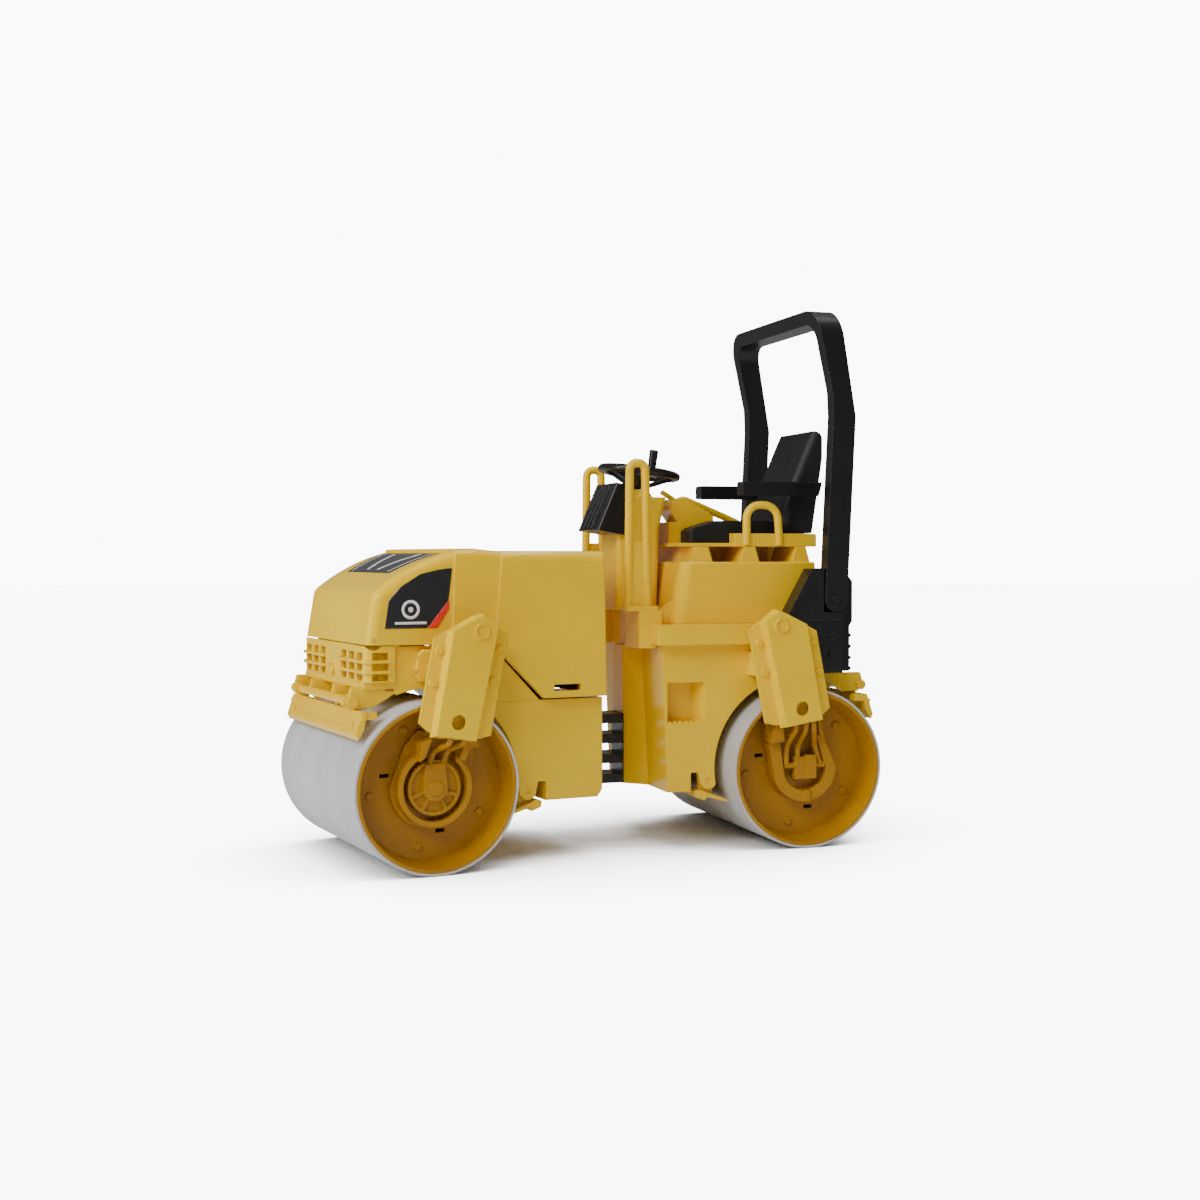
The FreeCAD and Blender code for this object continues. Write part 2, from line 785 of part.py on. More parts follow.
join = "-hood_step + 5"
nose_join = "-hood_mid + 2.4"
nose_points = [
    (nose_join, edge_height(nose_join)),
    (nose_join, "hood_rear_roof + 0.2", "92"),
    ("-nose_end + 4.2", "hood_nose_high"),
    ("-nose_end + 0.4", "hood_nose_low"),
    ("-hood_edge_end", "hood_edge_high"),
]
mid_points = [
    (join, edge_height(join)),
    (join, "hood_rear_roof - 0.5"),
    ("-hood_step - 12", "hood_roof - 0.3"),
    ("-hood_mid", "hood_roof - 0.5"),
    ("-hood_mid - 1.2", edge_height("-hood_mid - 1.2")),
]
lean = "-hood_step - 2.6"
rear_points = [
    ("-hood_rear_end", "hood_rear_low"),
    ("-hood_rear_end - 1.3", "hood_rear_roof"),
    ("-hood_step + 1.4", "hood_rear_roof"),
    (lean, edge_height(lean)),
    ("-hood_slope_end", "hood_slope_top"),
    ("-hood_kink", "hood_rear_low"),
]
room_points = [
    ("-hood_rear_end - hood_wall", "60"),
    ("-hood_rear_end - hood_wall - 1.3", "hood_rear_roof - hood_wall"),
    (nose_join, "hood_rear_roof + 0.2 - hood_wall", "92"),
    ("-nose_end + 4.8 + hood_wall", "hood_nose_high - 1.0"),
    ("-nose_end + 0.4 + hood_wall", "hood_nose_low"),
    ("-nose_end + 0.4 + hood_wall", "60"),
]


def long_rim(edge):
    """The edges along both sides of a section's top and front."""
    middle = edge.CenterOfMass
    ahead = middle.y < number("-nose_end + 6") and middle.z > number("hood_nose_low + 2")
    roof = middle.z > number("hood_nose_high + 2") and abs(direction(edge).y) > 0.6
    return abs(direction(edge).x) < 0.1 and (ahead or roof)


hood_nose = outline("HoodNose", "YZ_Plane", nose_points, "-hood_front_half", "hood_front_half")
round_edges(
    hood_nose,
    "hood_round + 0.6",
    lambda edge: runs_along(X_AXIS)(edge)
    and abs(edge.CenterOfMass.z - number("hood_nose_high")) < 1
    and edge.CenterOfMass.y < number("-nose_end + 6"),
)
round_edges(hood_nose, "hood_round", long_rim)
hood_middle = outline("HoodMiddle", "YZ_Plane", mid_points, "-hood_front_half - hood_mid_proud",
                      "hood_front_half + hood_mid_proud")
round_edges(hood_middle, "hood_round", long_rim)
hood_back = outline("HoodBack", "YZ_Plane", rear_points, "-hood_rear_half", "hood_rear_half")
round_edges(hood_back, "hood_round + 0.5", long_rim)
hood_room = outline("HoodRoom", "YZ_Plane", room_points, "-hood_front_half + hood_wall",
                    "hood_front_half - hood_wall")
pin_holes = rod("HoodPinHoles", "x", "-hood_front_half - 1", "hood_front_half + 1", pin_spot,
                "hood_pin_radius + running_gap")
finger_slot = block("FingerSlot", ("-hood_rear_half - 1", "hood_rear_half + 1"),
                    ("-hood_slot_start - hood_slot_length", "-hood_slot_start"),
                    ("hood_slot_floor", "hood_slot_floor + hood_slot_height"))
hood_shell = cut("HoodShell", fuse("HoodFull", hood_nose, hood_middle, hood_back), hood_room,
                 pin_holes, finger_slot)
subpart("hood_shell", hood_shell, True)


# ---- arms and hub yokes, drawn at the rear left ----

flange_points = [
    ("65.9", "107.0"),
    ("74.5", "62.0"),
    ("80.2", "60.8"),
    ("104.4", "65.0"),
    ("108.6", "68.9"),
    ("101.3", "106.4"),
    ("83.3", "115.9"),
    ("79.2", "117.2"),
]
arm_flange = outline("ArmFlange", "YZ_Plane", flange_points, "arm_back",
                     "arm_back + arm_flange")
hat_low = [
    ("83.6 - arm_draft", "59.4"),
    ("102.4 + arm_draft", "62.6"),
    ("94.0 + arm_draft", "109.6"),
    ("83.3", "115.9"),
    ("79.2", "117.2"),
    ("72.4 - arm_draft", "111.6"),
]
hat_high = [
    ("83.6", "60.4"),
    ("102.4", "63.6"),
    ("94.0", "109.8"),
    ("83.0", "115.2"),
    ("79.4", "116.4"),
    ("72.4", "111.8"),
]
hat = taper("ArmHat", hat_low, hat_high, "arm_back + arm_flange - 0.2", "arm_face")
hat_room = outline(
    "ArmHatRoom",
    "YZ_Plane",
    [("85.6", "40"), ("106.0", "40"), ("93.0", "100.0"), ("78.6", "97.5")],
    "arm_back + arm_flange",
    "arm_face - arm_wall",
)
tie_spot = ("tie_hole_from_pivot", "tie_hole_height")
tie_hole = rod("TieHole", "x", "arm_face - arm_wall - 0.5", "arm_face + 1", tie_spot,
               "tie_hole_radius")
boss = rod("ArmBoss", "x", "arm_face - 1", "arm_face + 0.7", ("80.6", "109.2"), "3.6")
boss_eye = rod("ArmBossEye", "x", "arm_face + 0.1", "arm_face + 2", ("80.6", "109.2"), "2.7")
rear_arm = cut("RearArm", fuse("RearArmFull", arm_flange, hat, boss), hat_room, tie_hole, boss_eye)
bolt_spots = [("70.7", "100.8"), ("73.8", "86.5"), ("99.3", "101.0"), ("102.3", "86.6")]
bolts = []
for place, spot in enumerate(bolt_spots):
    foot = "arm_back + arm_flange"
    bolts.append(cone(f"ArmBolt{place}", "x", foot, f"{foot} + arm_bolt_height", spot,
                      ("arm_bolt_radius", "arm_bolt_radius - 0.3")))
rear_bolts = group("RearArmBoltsLeft", *bolts)
hub_spot = ("half_wheelbase", "drum_radius")
axle_seat = rod("AxleSeat", "x", "yoke_back - 5", "yoke_back + yoke_plate", hub_spot,
                "axle_radius")

# U-shaped yoke with a recess in its middle
fork_points = [
    ("half_wheelbase - fork_outer", "drum_radius", "fork_outer"),
    ("half_wheelbase", "drum_radius - fork_outer", "fork_outer"),
    ("half_wheelbase + fork_outer", "drum_radius"),
    ("107.0", "58.0"),
    ("104.6", "64.6"),
    ("80.6", "60.8"),
    ("78.0", "61.0"),
]
fork_room_points = [
    ("half_wheelbase - fork_inner", "drum_radius", "fork_inner"),
    ("half_wheelbase", "drum_radius - fork_inner", "fork_inner"),
    ("half_wheelbase + fork_inner", "drum_radius"),
    ("103.6", "58.0"),
    ("102.0", "70.0"),
    ("84.8", "70.0"),
    ("85.2", "54.0"),
]
fork_plate = outline("ForkPlate", "YZ_Plane", fork_points, "yoke_back", "yoke_back + yoke_plate")
fork_wall = outline("ForkWall", "YZ_Plane", fork_points, "yoke_back", "yoke_face")
fork_room = outline("ForkRoom", "YZ_Plane", fork_room_points, "yoke_back + yoke_plate",
                    "yoke_face + 20")
shoulder_points = [("78.8", "52.0"), ("106.2", "55.0"), ("104.6", "64.6"), ("80.6", "60.8")]
fork_shoulder = outline("ForkShoulder", "YZ_Plane", shoulder_points, "yoke_back", "arm_back")
fork_tab = block("ForkTab", ("yoke_face - 1", "yoke_face + 1"),
                 ("half_wheelbase - 1", "half_wheelbase + 2.6"),
                 ("drum_radius - fork_outer", "drum_radius - fork_inner"))
fork = cut("Fork", fuse("ForkFull", fork_plate, fork_wall, fork_shoulder, fork_tab), fork_room,
           axle_seat)

# ring-shaped yoke, open at its top
ring_points = [
    ("half_wheelbase - ring_outer - 1.6", "drum_radius", "ring_outer + 1.6"),
    ("half_wheelbase", "drum_radius - ring_outer - 1.6", "ring_outer + 1.6"),
    ("half_wheelbase + ring_outer + 1.6", "drum_radius"),
    ("110.6", "58.0"),
    ("104.6", "64.6"),
    ("80.6", "60.8"),
    ("77.0", "58.0"),
]
ring_plate = outline("RingPlate", "YZ_Plane", ring_points, "yoke_back", "yoke_back + yoke_plate")
ring_wall = cut(
    "RingWall",
    rod("RingOut", "x", "yoke_back", "yoke_face + 1", hub_spot, "ring_outer"),
    rod("RingIn", "x", "yoke_back + yoke_plate", "yoke_face + 5", hub_spot, "ring_inner"),
    outline("RingGap", "YZ_Plane", [("89.0", "50.6"), ("105.4", "53.0"), ("104.0", "70"),
            ("86.0", "70")], "yoke_back + yoke_plate", "yoke_face + 5"),
)
neck_front = outline("NeckFront", "YZ_Plane",
                     [("86.2", "50.8"), ("88.6", "52.0"), ("86.6", "59.0"), ("81.6", "61.0")],
                     "yoke_back", "arm_back")
neck_rear = outline("NeckRear", "YZ_Plane",
                    [("105.0", "53.4"), ("107.4", "51.6"), ("106.6", "60.0"), ("101.6", "62.0")],
                    "yoke_back", "arm_back")
ring_shoulder = outline("RingShoulder", "YZ_Plane",
                        [("78.8", "57.0"), ("86.6", "57.0"), ("85.6", "61.5"), ("80.6", "60.8")],
                        "yoke_back", "arm_back")
ring = cut("Ring", fuse("RingFull", ring_plate, ring_wall, neck_front, neck_rear, ring_shoulder),
           axle_seat)

# motor block with two side fittings and moulded hoses
motor_x = ("yoke_back + yoke_plate", "yoke_face + 1.6")
motor_front = block("MotorFront", (motor_x[0], "yoke_face + 0.6"),
                    ("half_wheelbase - 5.4", "half_wheelbase + 0.3"),
                    ("drum_radius - 5.6", "drum_radius + 5.2"))
motor_rear = block("MotorRear", motor_x, ("half_wheelbase + 0.1", "half_wheelbase + 5.6"),
                   ("drum_radius - 5.4", "drum_radius + 6.2"))
fitting = rod("Fitting", "y", "half_wheelbase - 10.6", "half_wheelbase + 10.6",
              ("yoke_face - 1.2", "drum_radius + 1.0"), "1.5")
hose_top = ("arm_face - arm_wall - hose_radius - 0.3", "64.5")
motor_hoses = []
for place, (start, knee, end, height) in enumerate((
        ("89.4", "half_wheelbase - 9.4", "half_wheelbase - 9.4", "drum_radius + 1.0"),
        ("94.6", "half_wheelbase - 3.4", "half_wheelbase - 3.4", "drum_radius + 4.4"),
        ("98.6", "half_wheelbase + 5.6", "half_wheelbase + 8.8", "drum_radius + 1.0"))):
    route = [
        (hose_top[0], start, hose_top[1]),
        (hose_top[0], f"{start} + 0.4", "59.0"),
        ("yoke_face - 1.2", knee, "49.6"),
        ("yoke_face - 1.2", end, height),
    ]
    motor_hoses.append(tube(f"MotorHose{place}", route, "hose_radius", "3.4"))
motor = fuse("Motor", motor_front, motor_rear, fitting, *motor_hoses)

# round hub cap with a shield block, ribs and two moulded hoses
cap_foot = "yoke_back + yoke_plate"
cap_disc = lathe("HubDisc", [
    (cap_foot, "0"),
    ("yoke_face - 1.8", "0"),
    ("yoke_face - 1.8", "cap_radius - cap_rim"),
    ("yoke_face - 0.4", "cap_radius - cap_rim"),
    ("yoke_face - 0.4", "cap_radius"),
    (cap_foot, "cap_radius"),
])
locate(cap_disc, "0", *hub_spot)
shield = outline("Shield", "YZ_Plane", [
    ("half_wheelbase - 5.8", "drum_radius", "5.8"),
    ("half_wheelbase", "drum_radius - 5.8", "5.8"),
    ("half_wheelbase + 5.8", "drum_radius"),
    ("half_wheelbase + 4.6", "drum_radius + 11.0"),
    ("half_wheelbase - 4.6", "drum_radius + 11.0"),
], "yoke_face - 2", "yoke_face + 1.2")
shield_bolt = rod("ShieldBolt", "x", "yoke_face + 1", "yoke_face + 1.9", hub_spot, "3.3")
ribs = []
for place, angle in enumerate((200, 240, 300, 340)):
    rib = block(f"HubRib{place}", ("yoke_face - 2", "yoke_face - 0.5"), ("0", "cap_radius - 0.5"),
                ("-0.7", "0.7"))
    holder = group(f"HubRibTurned{place}", rib)
    holder.Placement = Placement(Vector(), Rotation(X_AXIS, angle))
    locate(holder, "0", *hub_spot)
    ribs.append(holder)
cap_hoses = []
for place, (start, end) in enumerate((("87.6", "half_wheelbase - 4.2"),
                                      ("94.2", "half_wheelbase + 2.4"))):
    route = [
        (hose_top[0], start, hose_top[1]),
        (hose_top[0], f"{start} + 0.8", "59.6"),
        ("yoke_face - 0.6", f"{end} - 1.6", "55.4"),
        ("yoke_face - 0.6", end, "drum_radius + 10.2"),
    ]
    cap_hoses.append(tube(f"CapHose{place}", route, "hose_radius", "3.4"))
hub_cap = fuse("HubCap", cap_disc, shield, shield_bolt, *ribs, *cap_hoses)

subpart("rear_arm_left", rear_arm)
subpart("rear_arm_right", mirror("RearArmRight", rear_arm))
subpart("front_arm_left", mirror("FrontArmLeft", rear_arm, Y_AXIS), True)
subpart("front_arm_right", half_turn("FrontArmRight", rear_arm), True)
subpart("rear_arm_bolts", both_sides("RearArmBolts", rear_bolts))
front_bolts = mirror("FrontArmBoltsLeft", rear_bolts, Y_AXIS)
subpart("front_arm_bolts", both_sides("FrontArmBolts", front_bolts), True)
subpart("rear_fork_yoke", fork)
subpart("front_fork_yoke", half_turn("FrontFork", fork), True)
subpart("rear_ring_yoke", mirror("RearRing", ring))
subpart("front_ring_yoke", mirror("FrontRing", ring, Y_AXIS), True)
subpart("rear_drum_motor", motor)
subpart("front_drum_motor", half_turn("FrontMotor", motor), True)
subpart("rear_hub_cap", mirror("RearHubCap", hub_cap))
subpart("front_hub_cap", mirror("FrontHubCap", hub_cap, Y_AXIS), True)

# ---- rear chassis and deck ----

rear_side = [
    ("rear_front_low", "chassis_floor"),
    ("rear_lobe - 9.2", "chassis_floor"),
    ("rear_lobe - 9.2", "notch_roof"),
    ("rear_lobe + 10", "notch_roof"),
    ("rear_end", "drum_radius + 31"),
    ("rear_end", "deck_floor"),
    ("rear_front_high", "deck_floor"),
]
rear_tub = outline("RearTub", "YZ_Plane", rear_side, "-side_half", "side_half")
nose_plan = [
    ("-18", "rear_front_low + 1"),
    ("-18", "rear_front_low"),
    ("-7.5", "20"),
    ("7.5", "20"),
    ("18", "rear_front_low"),
    ("18", "rear_front_low + 1"),
]
rear_nose = outline("RearNose", "XY_Plane", nose_plan, "chassis_floor", "upstand_floor")
step_deep = [
    ("step_front", "step_floor"),
    ("step_rear - 3.6", "step_floor"),
    ("step_rear - 3.6", "step_roof"),
    ("step_front", "step_roof"),
]
step_low = [
    ("step_front", "step_floor"),
    ("step_rear", "step_floor"),
    ("step_rear", "step_roof"),
    ("step_front", "step_roof"),
]
step = taper("Step", step_deep, step_low, "side_half - step_depth", "side_half + 0.5")
teeth = [
    rod(f"Tooth{place}", "x", "side_half - 1.6", "side_half",
        (f"step_front + 1.2 + {place} * (step_rear - step_front - 2.4) / 6", "step_floor + 0.1"),
        "step_tooth")
    for place in range(7)
]


rear_plate = block("RearBracketPlate", ("-upper_ear", "upper_ear"), ("rear_end - 8", "122"),
                   ("rear_bracket_top - 2.2", "rear_bracket_top"))
rear_full = fuse(
    "RearChassisFull",
    cut("RearTubCut", rear_tub, both_sides("Steps", step)),
    rear_nose,
    both_sides("Teeth", fuse("TeethRow", *teeth)),
    lobe("rear", "1", "rear_lobe"),
    arm_block("rear", "1"),
    ears("rear", bracket_side("1", "(rear_end - 8)", "rear_bracket_top")),
    rear_plate,
)
rod_spot = ("upper_pin_from_pivot", "upper_pin_height")
rear_rod_room = rod("RearRodRoom", "x", "-60", "60", rod_spot, "upper_rod_radius")
rear_chassis = cut("RearChassis", rear_full, arch("rear", "1"), rear_rod_room)
subpart("rear_chassis", rear_chassis)

deck_plate = block("DeckPlate", ("-deck_half", "deck_half"), ("deck_front", "rear_end"),
                   ("deck_floor", "deck_top"))
upstand = outline(
    "Upstand",
    "XY_Plane",
    [
        ("upstand_half", "deck_front + 5.5"),
        ("-upstand_half", "deck_front + 5.5"),
        ("-upstand_half", "upstand_front"),
        ("-17.5", "upstand_front"),
        ("-17.5", "upstand_front + 4.4"),
        ("17.5", "upstand_front + 4.4"),
        ("17.5", "upstand_front"),
        ("upstand_half", "upstand_front"),
    ],
    "upstand_floor",
    "upstand_top",
)
round_edges(upstand, "1.4", lambda edge: runs_along(Z_AXIS)(edge)
            and abs(edge.CenterOfMass.x) > number("upstand_half - 1")
            and edge.CenterOfMass.y < number("deck_front"))
chassis_room = block("ChassisRoom", ("-60", "60"), ("rear_front_high - 1", "rear_end + 1"),
                     ("80", "deck_floor"))
deck = cut("Deck", fuse("DeckFull", deck_plate, upstand), chassis_room)
subpart("platform_deck", deck)

# seat pedestal with its two sliding rails and a slanted web at its foot
tub_inside = [
    ("tub_front", "deck_top"),
    ("rear_end", "deck_top"),
    ("rear_end", "tub_top"),
    ("tub_front + tub_lean", "tub_top"),
]
tub = outline("TubWhole", "YZ_Plane", tub_inside, "-tub_half", "tub_half")
round_edges(tub, "6", lambda edge: edge.CenterOfMass.y < number("tub_front + tub_lean")
            and abs(direction(edge).z) > 0.7)
round_edges(tub, "1", lambda edge: edge.CenterOfMass.z > number("tub_top - 0.1"))
rails = []
for place, (start, end) in enumerate((("46.5", "58.5"), ("73.0", "83.5"), ("101.0", "111.0"))):
    rails.append(
        outline(
            f"SeatRail{place}",
            "YZ_Plane",
            [
                (start, "tub_top - 1"),
                (end, "tub_top - 1"),
                (f"{end} - 2.6", "seat_rail_top"),
                (f"{start} + 2.2", "seat_rail_top"),
            ],
            "-tub_half + 4",
            "tub_half - 4",
        )
    )
web = outline("TubWeb", "YZ_Plane", [("deck_front + 5.6", "deck_top"),
              ("tub_front + 1", "deck_top"), ("tub_front + 2", "deck_top + 12"),
              ("deck_front + 5.6", "upstand_top - 1")], "tub_half - 9", "tub_half - 7")
guide_slot = block("GuideSlot", ("-guide_half - running_gap", "guide_half + running_gap"),
                   ("guide_start - seat_travel - 1", "rear_end + 1"),
                   ("tray_floor - guide_depth - 0.4", "tray_floor + 1"))
pedestal = cut("PedestalCut", fuse("Pedestal", tub, both_sides("TubWebs", web), *rails), guide_slot)
subpart("seat_pedestal", pedestal)

# handrails, each a bent tube with a web between its legs and a foot plate
loop = tube(
    "RailLoop",
    [
        ("rail_half", "rail_front - 0.8", "rail_foot - 1"),
        ("rail_half", "rail_front", "rail_top - rail_tube"),
        ("rail_half", "rail_rear", "rail_top - rail_tube"),
        ("rail_half", "rail_rear + 1.2", "rail_foot - 1"),
    ],
    "rail_tube",
    "6",
)
rail_web = outline("RailWeb", "YZ_Plane", [
    ("rail_front - 0.8", "rail_foot - 1"),
    ("rail_rear + 1.2", "rail_foot - 1"),
    ("rail_rear + 0.6", "rail_web_top - 3"),
    ("rail_rear - 2", "rail_web_top - 0.6"),
    ("rail_front + 2", "rail_web_top - 0.6"),
    ("rail_front - 0.4", "rail_web_top - 3"),
], "rail_half - 1.0", "rail_half + 1.0")
rail_plate = outline("RailPlate", "XY_Plane", [
    ("rail_half - 5.4", "upstand_front - 6"),
    ("rail_half + 4.4", "upstand_front - 6"),
    ("rail_half + 4.4", "deck_front + 3.5"),
    ("rail_half - 5.4", "deck_front + 3.5"),
], "upstand_top", "rail_foot")
handrail = fuse("Handrail", loop, rail_web, rail_plate)
subpart("handrail_left", handrail)
subpart("handrail_right", mirror("HandrailRight", handrail))

# ---- steering column, dash and wheel ----

wheel_spot = Placement(
    Vector(0, number("wheel_from_pivot"), number("wheel_height")),
    Rotation(X_AXIS, -number("wheel_tilt")),
)


def on_wheel(name, thing):
    """The piece moved from the wheel's own frame to its place on the column."""
    holder = group(name, thing)
    holder.Placement = wheel_spot
    locate(holder, "0", "wheel_from_pivot", "wheel_height")
    bind(holder, Placement__Rotation__Angle="360 - wheel_tilt")
    return holder


column = outline("Column", "YZ_Plane", [
    ("deck_front + 5.6", "deck_top"),
    ("36.2", "deck_top"),
    ("37.6", "156"),
    ("41.3", "column_top - 0.4"),
    ("40.4", "column_top"),
    ("19.0", "column_top"),
    ("15.4", "156"),
    ("14.6", "upstand_top"),
    ("deck_front + 5.6", "upstand_top"),
], "-column_half", "column_half")
round_edges(column, "2.4", lambda edge: abs(direction(edge).z) > 0.8
            and edge.CenterOfMass.z > number("upstand_top"))
boot = cone("Boot", "z", "column_top - 0.5", "column_top + 4.2",
            ("0", "wheel_from_pivot"), ("7.6", "4.4"))
shaft_room = rod("ShaftRoom", "z", "-wheel_dish - 8", "0", ("0", "0"),
                 "wheel_shaft + running_gap")
subpart("steering_column", cut("ColumnCut", fuse("ColumnAndBoot", column, boot),
                               on_wheel("ShaftRoomTurned", shaft_room)))

dash_side = [
    ("13.8", "179.2"),
    ("20.4", "178.2"),
    ("18.0", "153.2"),
    ("3.8", "155.6"),
]
dash_body = outline("DashBody", "YZ_Plane", dash_side, "-dash_half", "dash_half")
round_edges(dash_body, "1.2", lambda edge: abs(edge.CenterOfMass.x) > number("dash_half - 0.1")
            and edge.CenterOfMass.y < 12 and abs(direction(edge).z) > 0.8)
dash_ribs = [
    outline(f"DashRib{place}", "YZ_Plane", [("3.0", "156.6"), ("6", "156.2"), ("15.4", "178.4"),
            ("13.0", "179.0")], f"-10.5 + {place} * 6.2 - 1.1", f"-10.5 + {place} * 6.2 + 1.1")
    for place in (0, 1, 2, 3)
]
subpart("dash_cover", cut("DashCut", fuse("Dash", dash_body, *dash_ribs), column))

rim = doc.addObject("Part::Torus", "WheelRim")
bind(rim, Radius1="wheel_radius", Radius2="wheel_tube")
hub = rod("WheelHub", "z", "-wheel_dish - 1.6", "-wheel_dish + 2.2", ("0", "0"), "4.6")
shaft = rod("WheelShaft", "z", "-wheel_dish - 7", "-wheel_dish", ("0", "0"), "wheel_shaft")
spokes = []
for place in range(3):
    spoke = outline(f"Spoke{place}", "XZ_Plane", [
        ("3", "-wheel_dish - 1.0"),
        ("6", "-wheel_dish - 1.0"),
        ("wheel_radius", "-1.2"),
        ("wheel_radius", "1.2"),
        ("6", "-wheel_dish + 1.4"),
        ("3", "-wheel_dish + 1.4"),
    ], "-2.1", "2.1")
    turned = group(f"SpokeTurned{place}", spoke)
    turned.Placement = Placement(Vector(), Rotation(Z_AXIS, 90 + 120 * place))
    spokes.append(turned)
knob_spot = ("wheel_radius", "0")
knob = fuse(
    "Knob",
    cone("KnobBody", "z", "wheel_tube - 1.2", "knob_height - 0.6", knob_spot,
         ("knob_radius - 0.3", "knob_radius")),
    cone("KnobTop", "z", "knob_height - 0.6", "knob_height", knob_spot,
         ("knob_radius", "knob_radius - 0.5")),
)
subpart("steering_wheel", on_wheel("SteeringWheel", fuse("Wheel", rim, hub, shaft, knob, *spokes)))
# ---- side plates, rear cover and roll hoop ----

cheek_inner = "cover_half + 0.6"
post_inner = "hoop_half - hoop_post"
post_middle = "(hoop_foot_front + hoop_depth / 2)"
plate_side = [
    ("89.6", "plate_floor"),
    ("118.6", "plate_floor"),
    ("119.6", "hoop_pivot_height + 4.5"),
    ("112.0", "hoop_pivot_height + 12"),
    ("108.2", "136.8"),
    ("101.6", "136.4"),
    ("89.6", "115.0"),
]
plate_thin = outline("PlateThin", "YZ_Plane", plate_side, cheek_inner, f"{post_inner} - body_gap")
plate_thick = outline("PlateThick", "YZ_Plane", plate_side, cheek_inner, "hoop_half - 0.3")
post_room = block("PostRoom", (f"{post_inner} - body_gap", "hoop_half + 2"),
                  ("hoop_foot_front - body_gap", "125"),
                  ("hoop_pivot_height - hoop_depth / 2 - body_gap", "150"))
deck_edge_room = block("DeckEdgeRoom", ("0", "deck_half + 0.01"), ("80", "rear_end"),
                       ("arm_block_roof", "deck_top"))
block_room = block("BlockRoom", ("0", "70"), ("80", "arm_block_end + 0.3"),
                   ("arm_block_floor - 2", "arm_block_roof + 0.3"))
plate_bolts = [
    rod(f"PlateBolt{place}", "x", "hoop_half - 1.8", "hoop_half + 0.5", ("113.2", height), "2.0")
    for place, height in enumerate(("93.8", "103.4"))
]
plate_step = block("PlateStep", ("hoop_half - 1.1", "hoop_half + 1"), ("85", "125"),
                   ("plate_floor - 1", "hoop_pivot_height - 10.2"))
side_plate = cut(
    "SidePlate",
    fuse("SidePlateFull", cut("SidePlateThick", plate_thick, post_room, plate_step), plate_thin,
         *plate_bolts),
    deck_edge_room,
    block_room,
)
subpart("side_plate_left", side_plate)
subpart("side_plate_right", mirror("SidePlateRight", side_plate))

cover_side = [
    ("rear_end", "cover_floor"),
    ("cover_rear", "cover_floor"),
    ("cover_rear", "108"),
    ("cover_rear + cover_bulge", "110.5"),
    ("cover_rear + cover_bulge", "cover_top - 3.5"),
    ("cover_rear - 1", "cover_top"),
    ("rear_end + 2", "cover_top"),
    ("rear_end + 0.01", "cover_top - 2"),
]
cover_body = outline("CoverBody", "YZ_Plane", cover_side, "-cover_half", "cover_half")
round_edges(cover_body, "1.2", lambda edge: abs(edge.CenterOfMass.x) > number("cover_half - 0.1")
            and edge.CenterOfMass.y > number("cover_rear + cover_bulge - 0.1"))
cover_ribs = [
    block(f"CoverRib{place}", ("-cover_half + 1.5", "cover_half - 1.5"),
          ("cover_rear - 1", "cover_rear + 1.7"), (f"{height} - 0.8", f"{height} + 0.8"))
    for place, height in enumerate(("86.4", "91.8", "97.4", "103.0"))
]
subpart("rear_cover", fuse("RearCover", cover_body, *cover_ribs))

hoop_front_view = outline(
    "HoopOutside",
    "XZ_Plane",
    [
        ("-hoop_half", "hoop_pivot_height - hoop_depth"),
        ("hoop_half", "hoop_pivot_height - hoop_depth"),
        ("hoop_half", "hoop_top - hoop_corner", "hoop_corner"),
        ("hoop_half - hoop_corner", "hoop_top"),
        ("-hoop_half + hoop_corner", "hoop_top", "hoop_corner"),
        ("-hoop_half", "hoop_top - hoop_corner"),
    ],
    "-150",
    "-80",
)
inner_corner = "(hoop_corner - hoop_post + 1.5)"
hoop_window = outline(
    "HoopInside",
    "XZ_Plane",
    [
        (f"-hoop_half + hoop_post", "100"),
        (f"hoop_half - hoop_post", "100"),
        (f"hoop_half - hoop_post", f"hoop_top - hoop_post - {inner_corner}", inner_corner),
        (f"hoop_half - hoop_post - {inner_corner}", "hoop_top - hoop_post"),
        (f"-hoop_half + hoop_post + {inner_corner}", "hoop_top - hoop_post", inner_corner),
        (f"-hoop_half + hoop_post", f"hoop_top - hoop_post - {inner_corner}"),
    ],
    "-160",
    "-70",
)
foot_radius = "(hoop_depth / 2)"
hoop_side_view = outline(
    "HoopSide",
    "YZ_Plane",
    [
        (f"{post_middle} - {foot_radius}", "hoop_pivot_height", foot_radius),
        (post_middle, f"hoop_pivot_height - {foot_radius}", foot_radius),
        (f"{post_middle} + {foot_radius}", "hoop_pivot_height"),
        ("hoop_kink_front + hoop_depth", "hoop_kink"),
        ("hoop_top_front + hoop_depth + 0.6", "hoop_top + 1"),
        ("hoop_top_front", "hoop_top + 1"),
        ("hoop_kink_front - 0.6", "hoop_kink + 12"),
        ("hoop_kink_front", "hoop_kink"),
    ],
    "-hoop_half - 5",
    "hoop_half + 5",
)
hoop_bar = common("HoopBar", cut("HoopFrame", hoop_front_view, hoop_window), hoop_side_view)
pivot_spot = (post_middle, "hoop_pivot_height")
hoop_holes = rod("HoopHoles", "x", "-hoop_half - 5", "hoop_half + 5", pivot_spot,
                 "hoop_pin_radius + running_gap")
subpart("roll_hoop", cut("Hoop", hoop_bar, hoop_holes))
hoop_pin = rod("HoopPin", "x", f"{post_inner} - body_gap", "hoop_half + 0.8", pivot_spot,
               "hoop_pin_radius")
subpart("hoop_pins", both_sides("HoopPins", hoop_pin))

# ---- seat on its tray ----

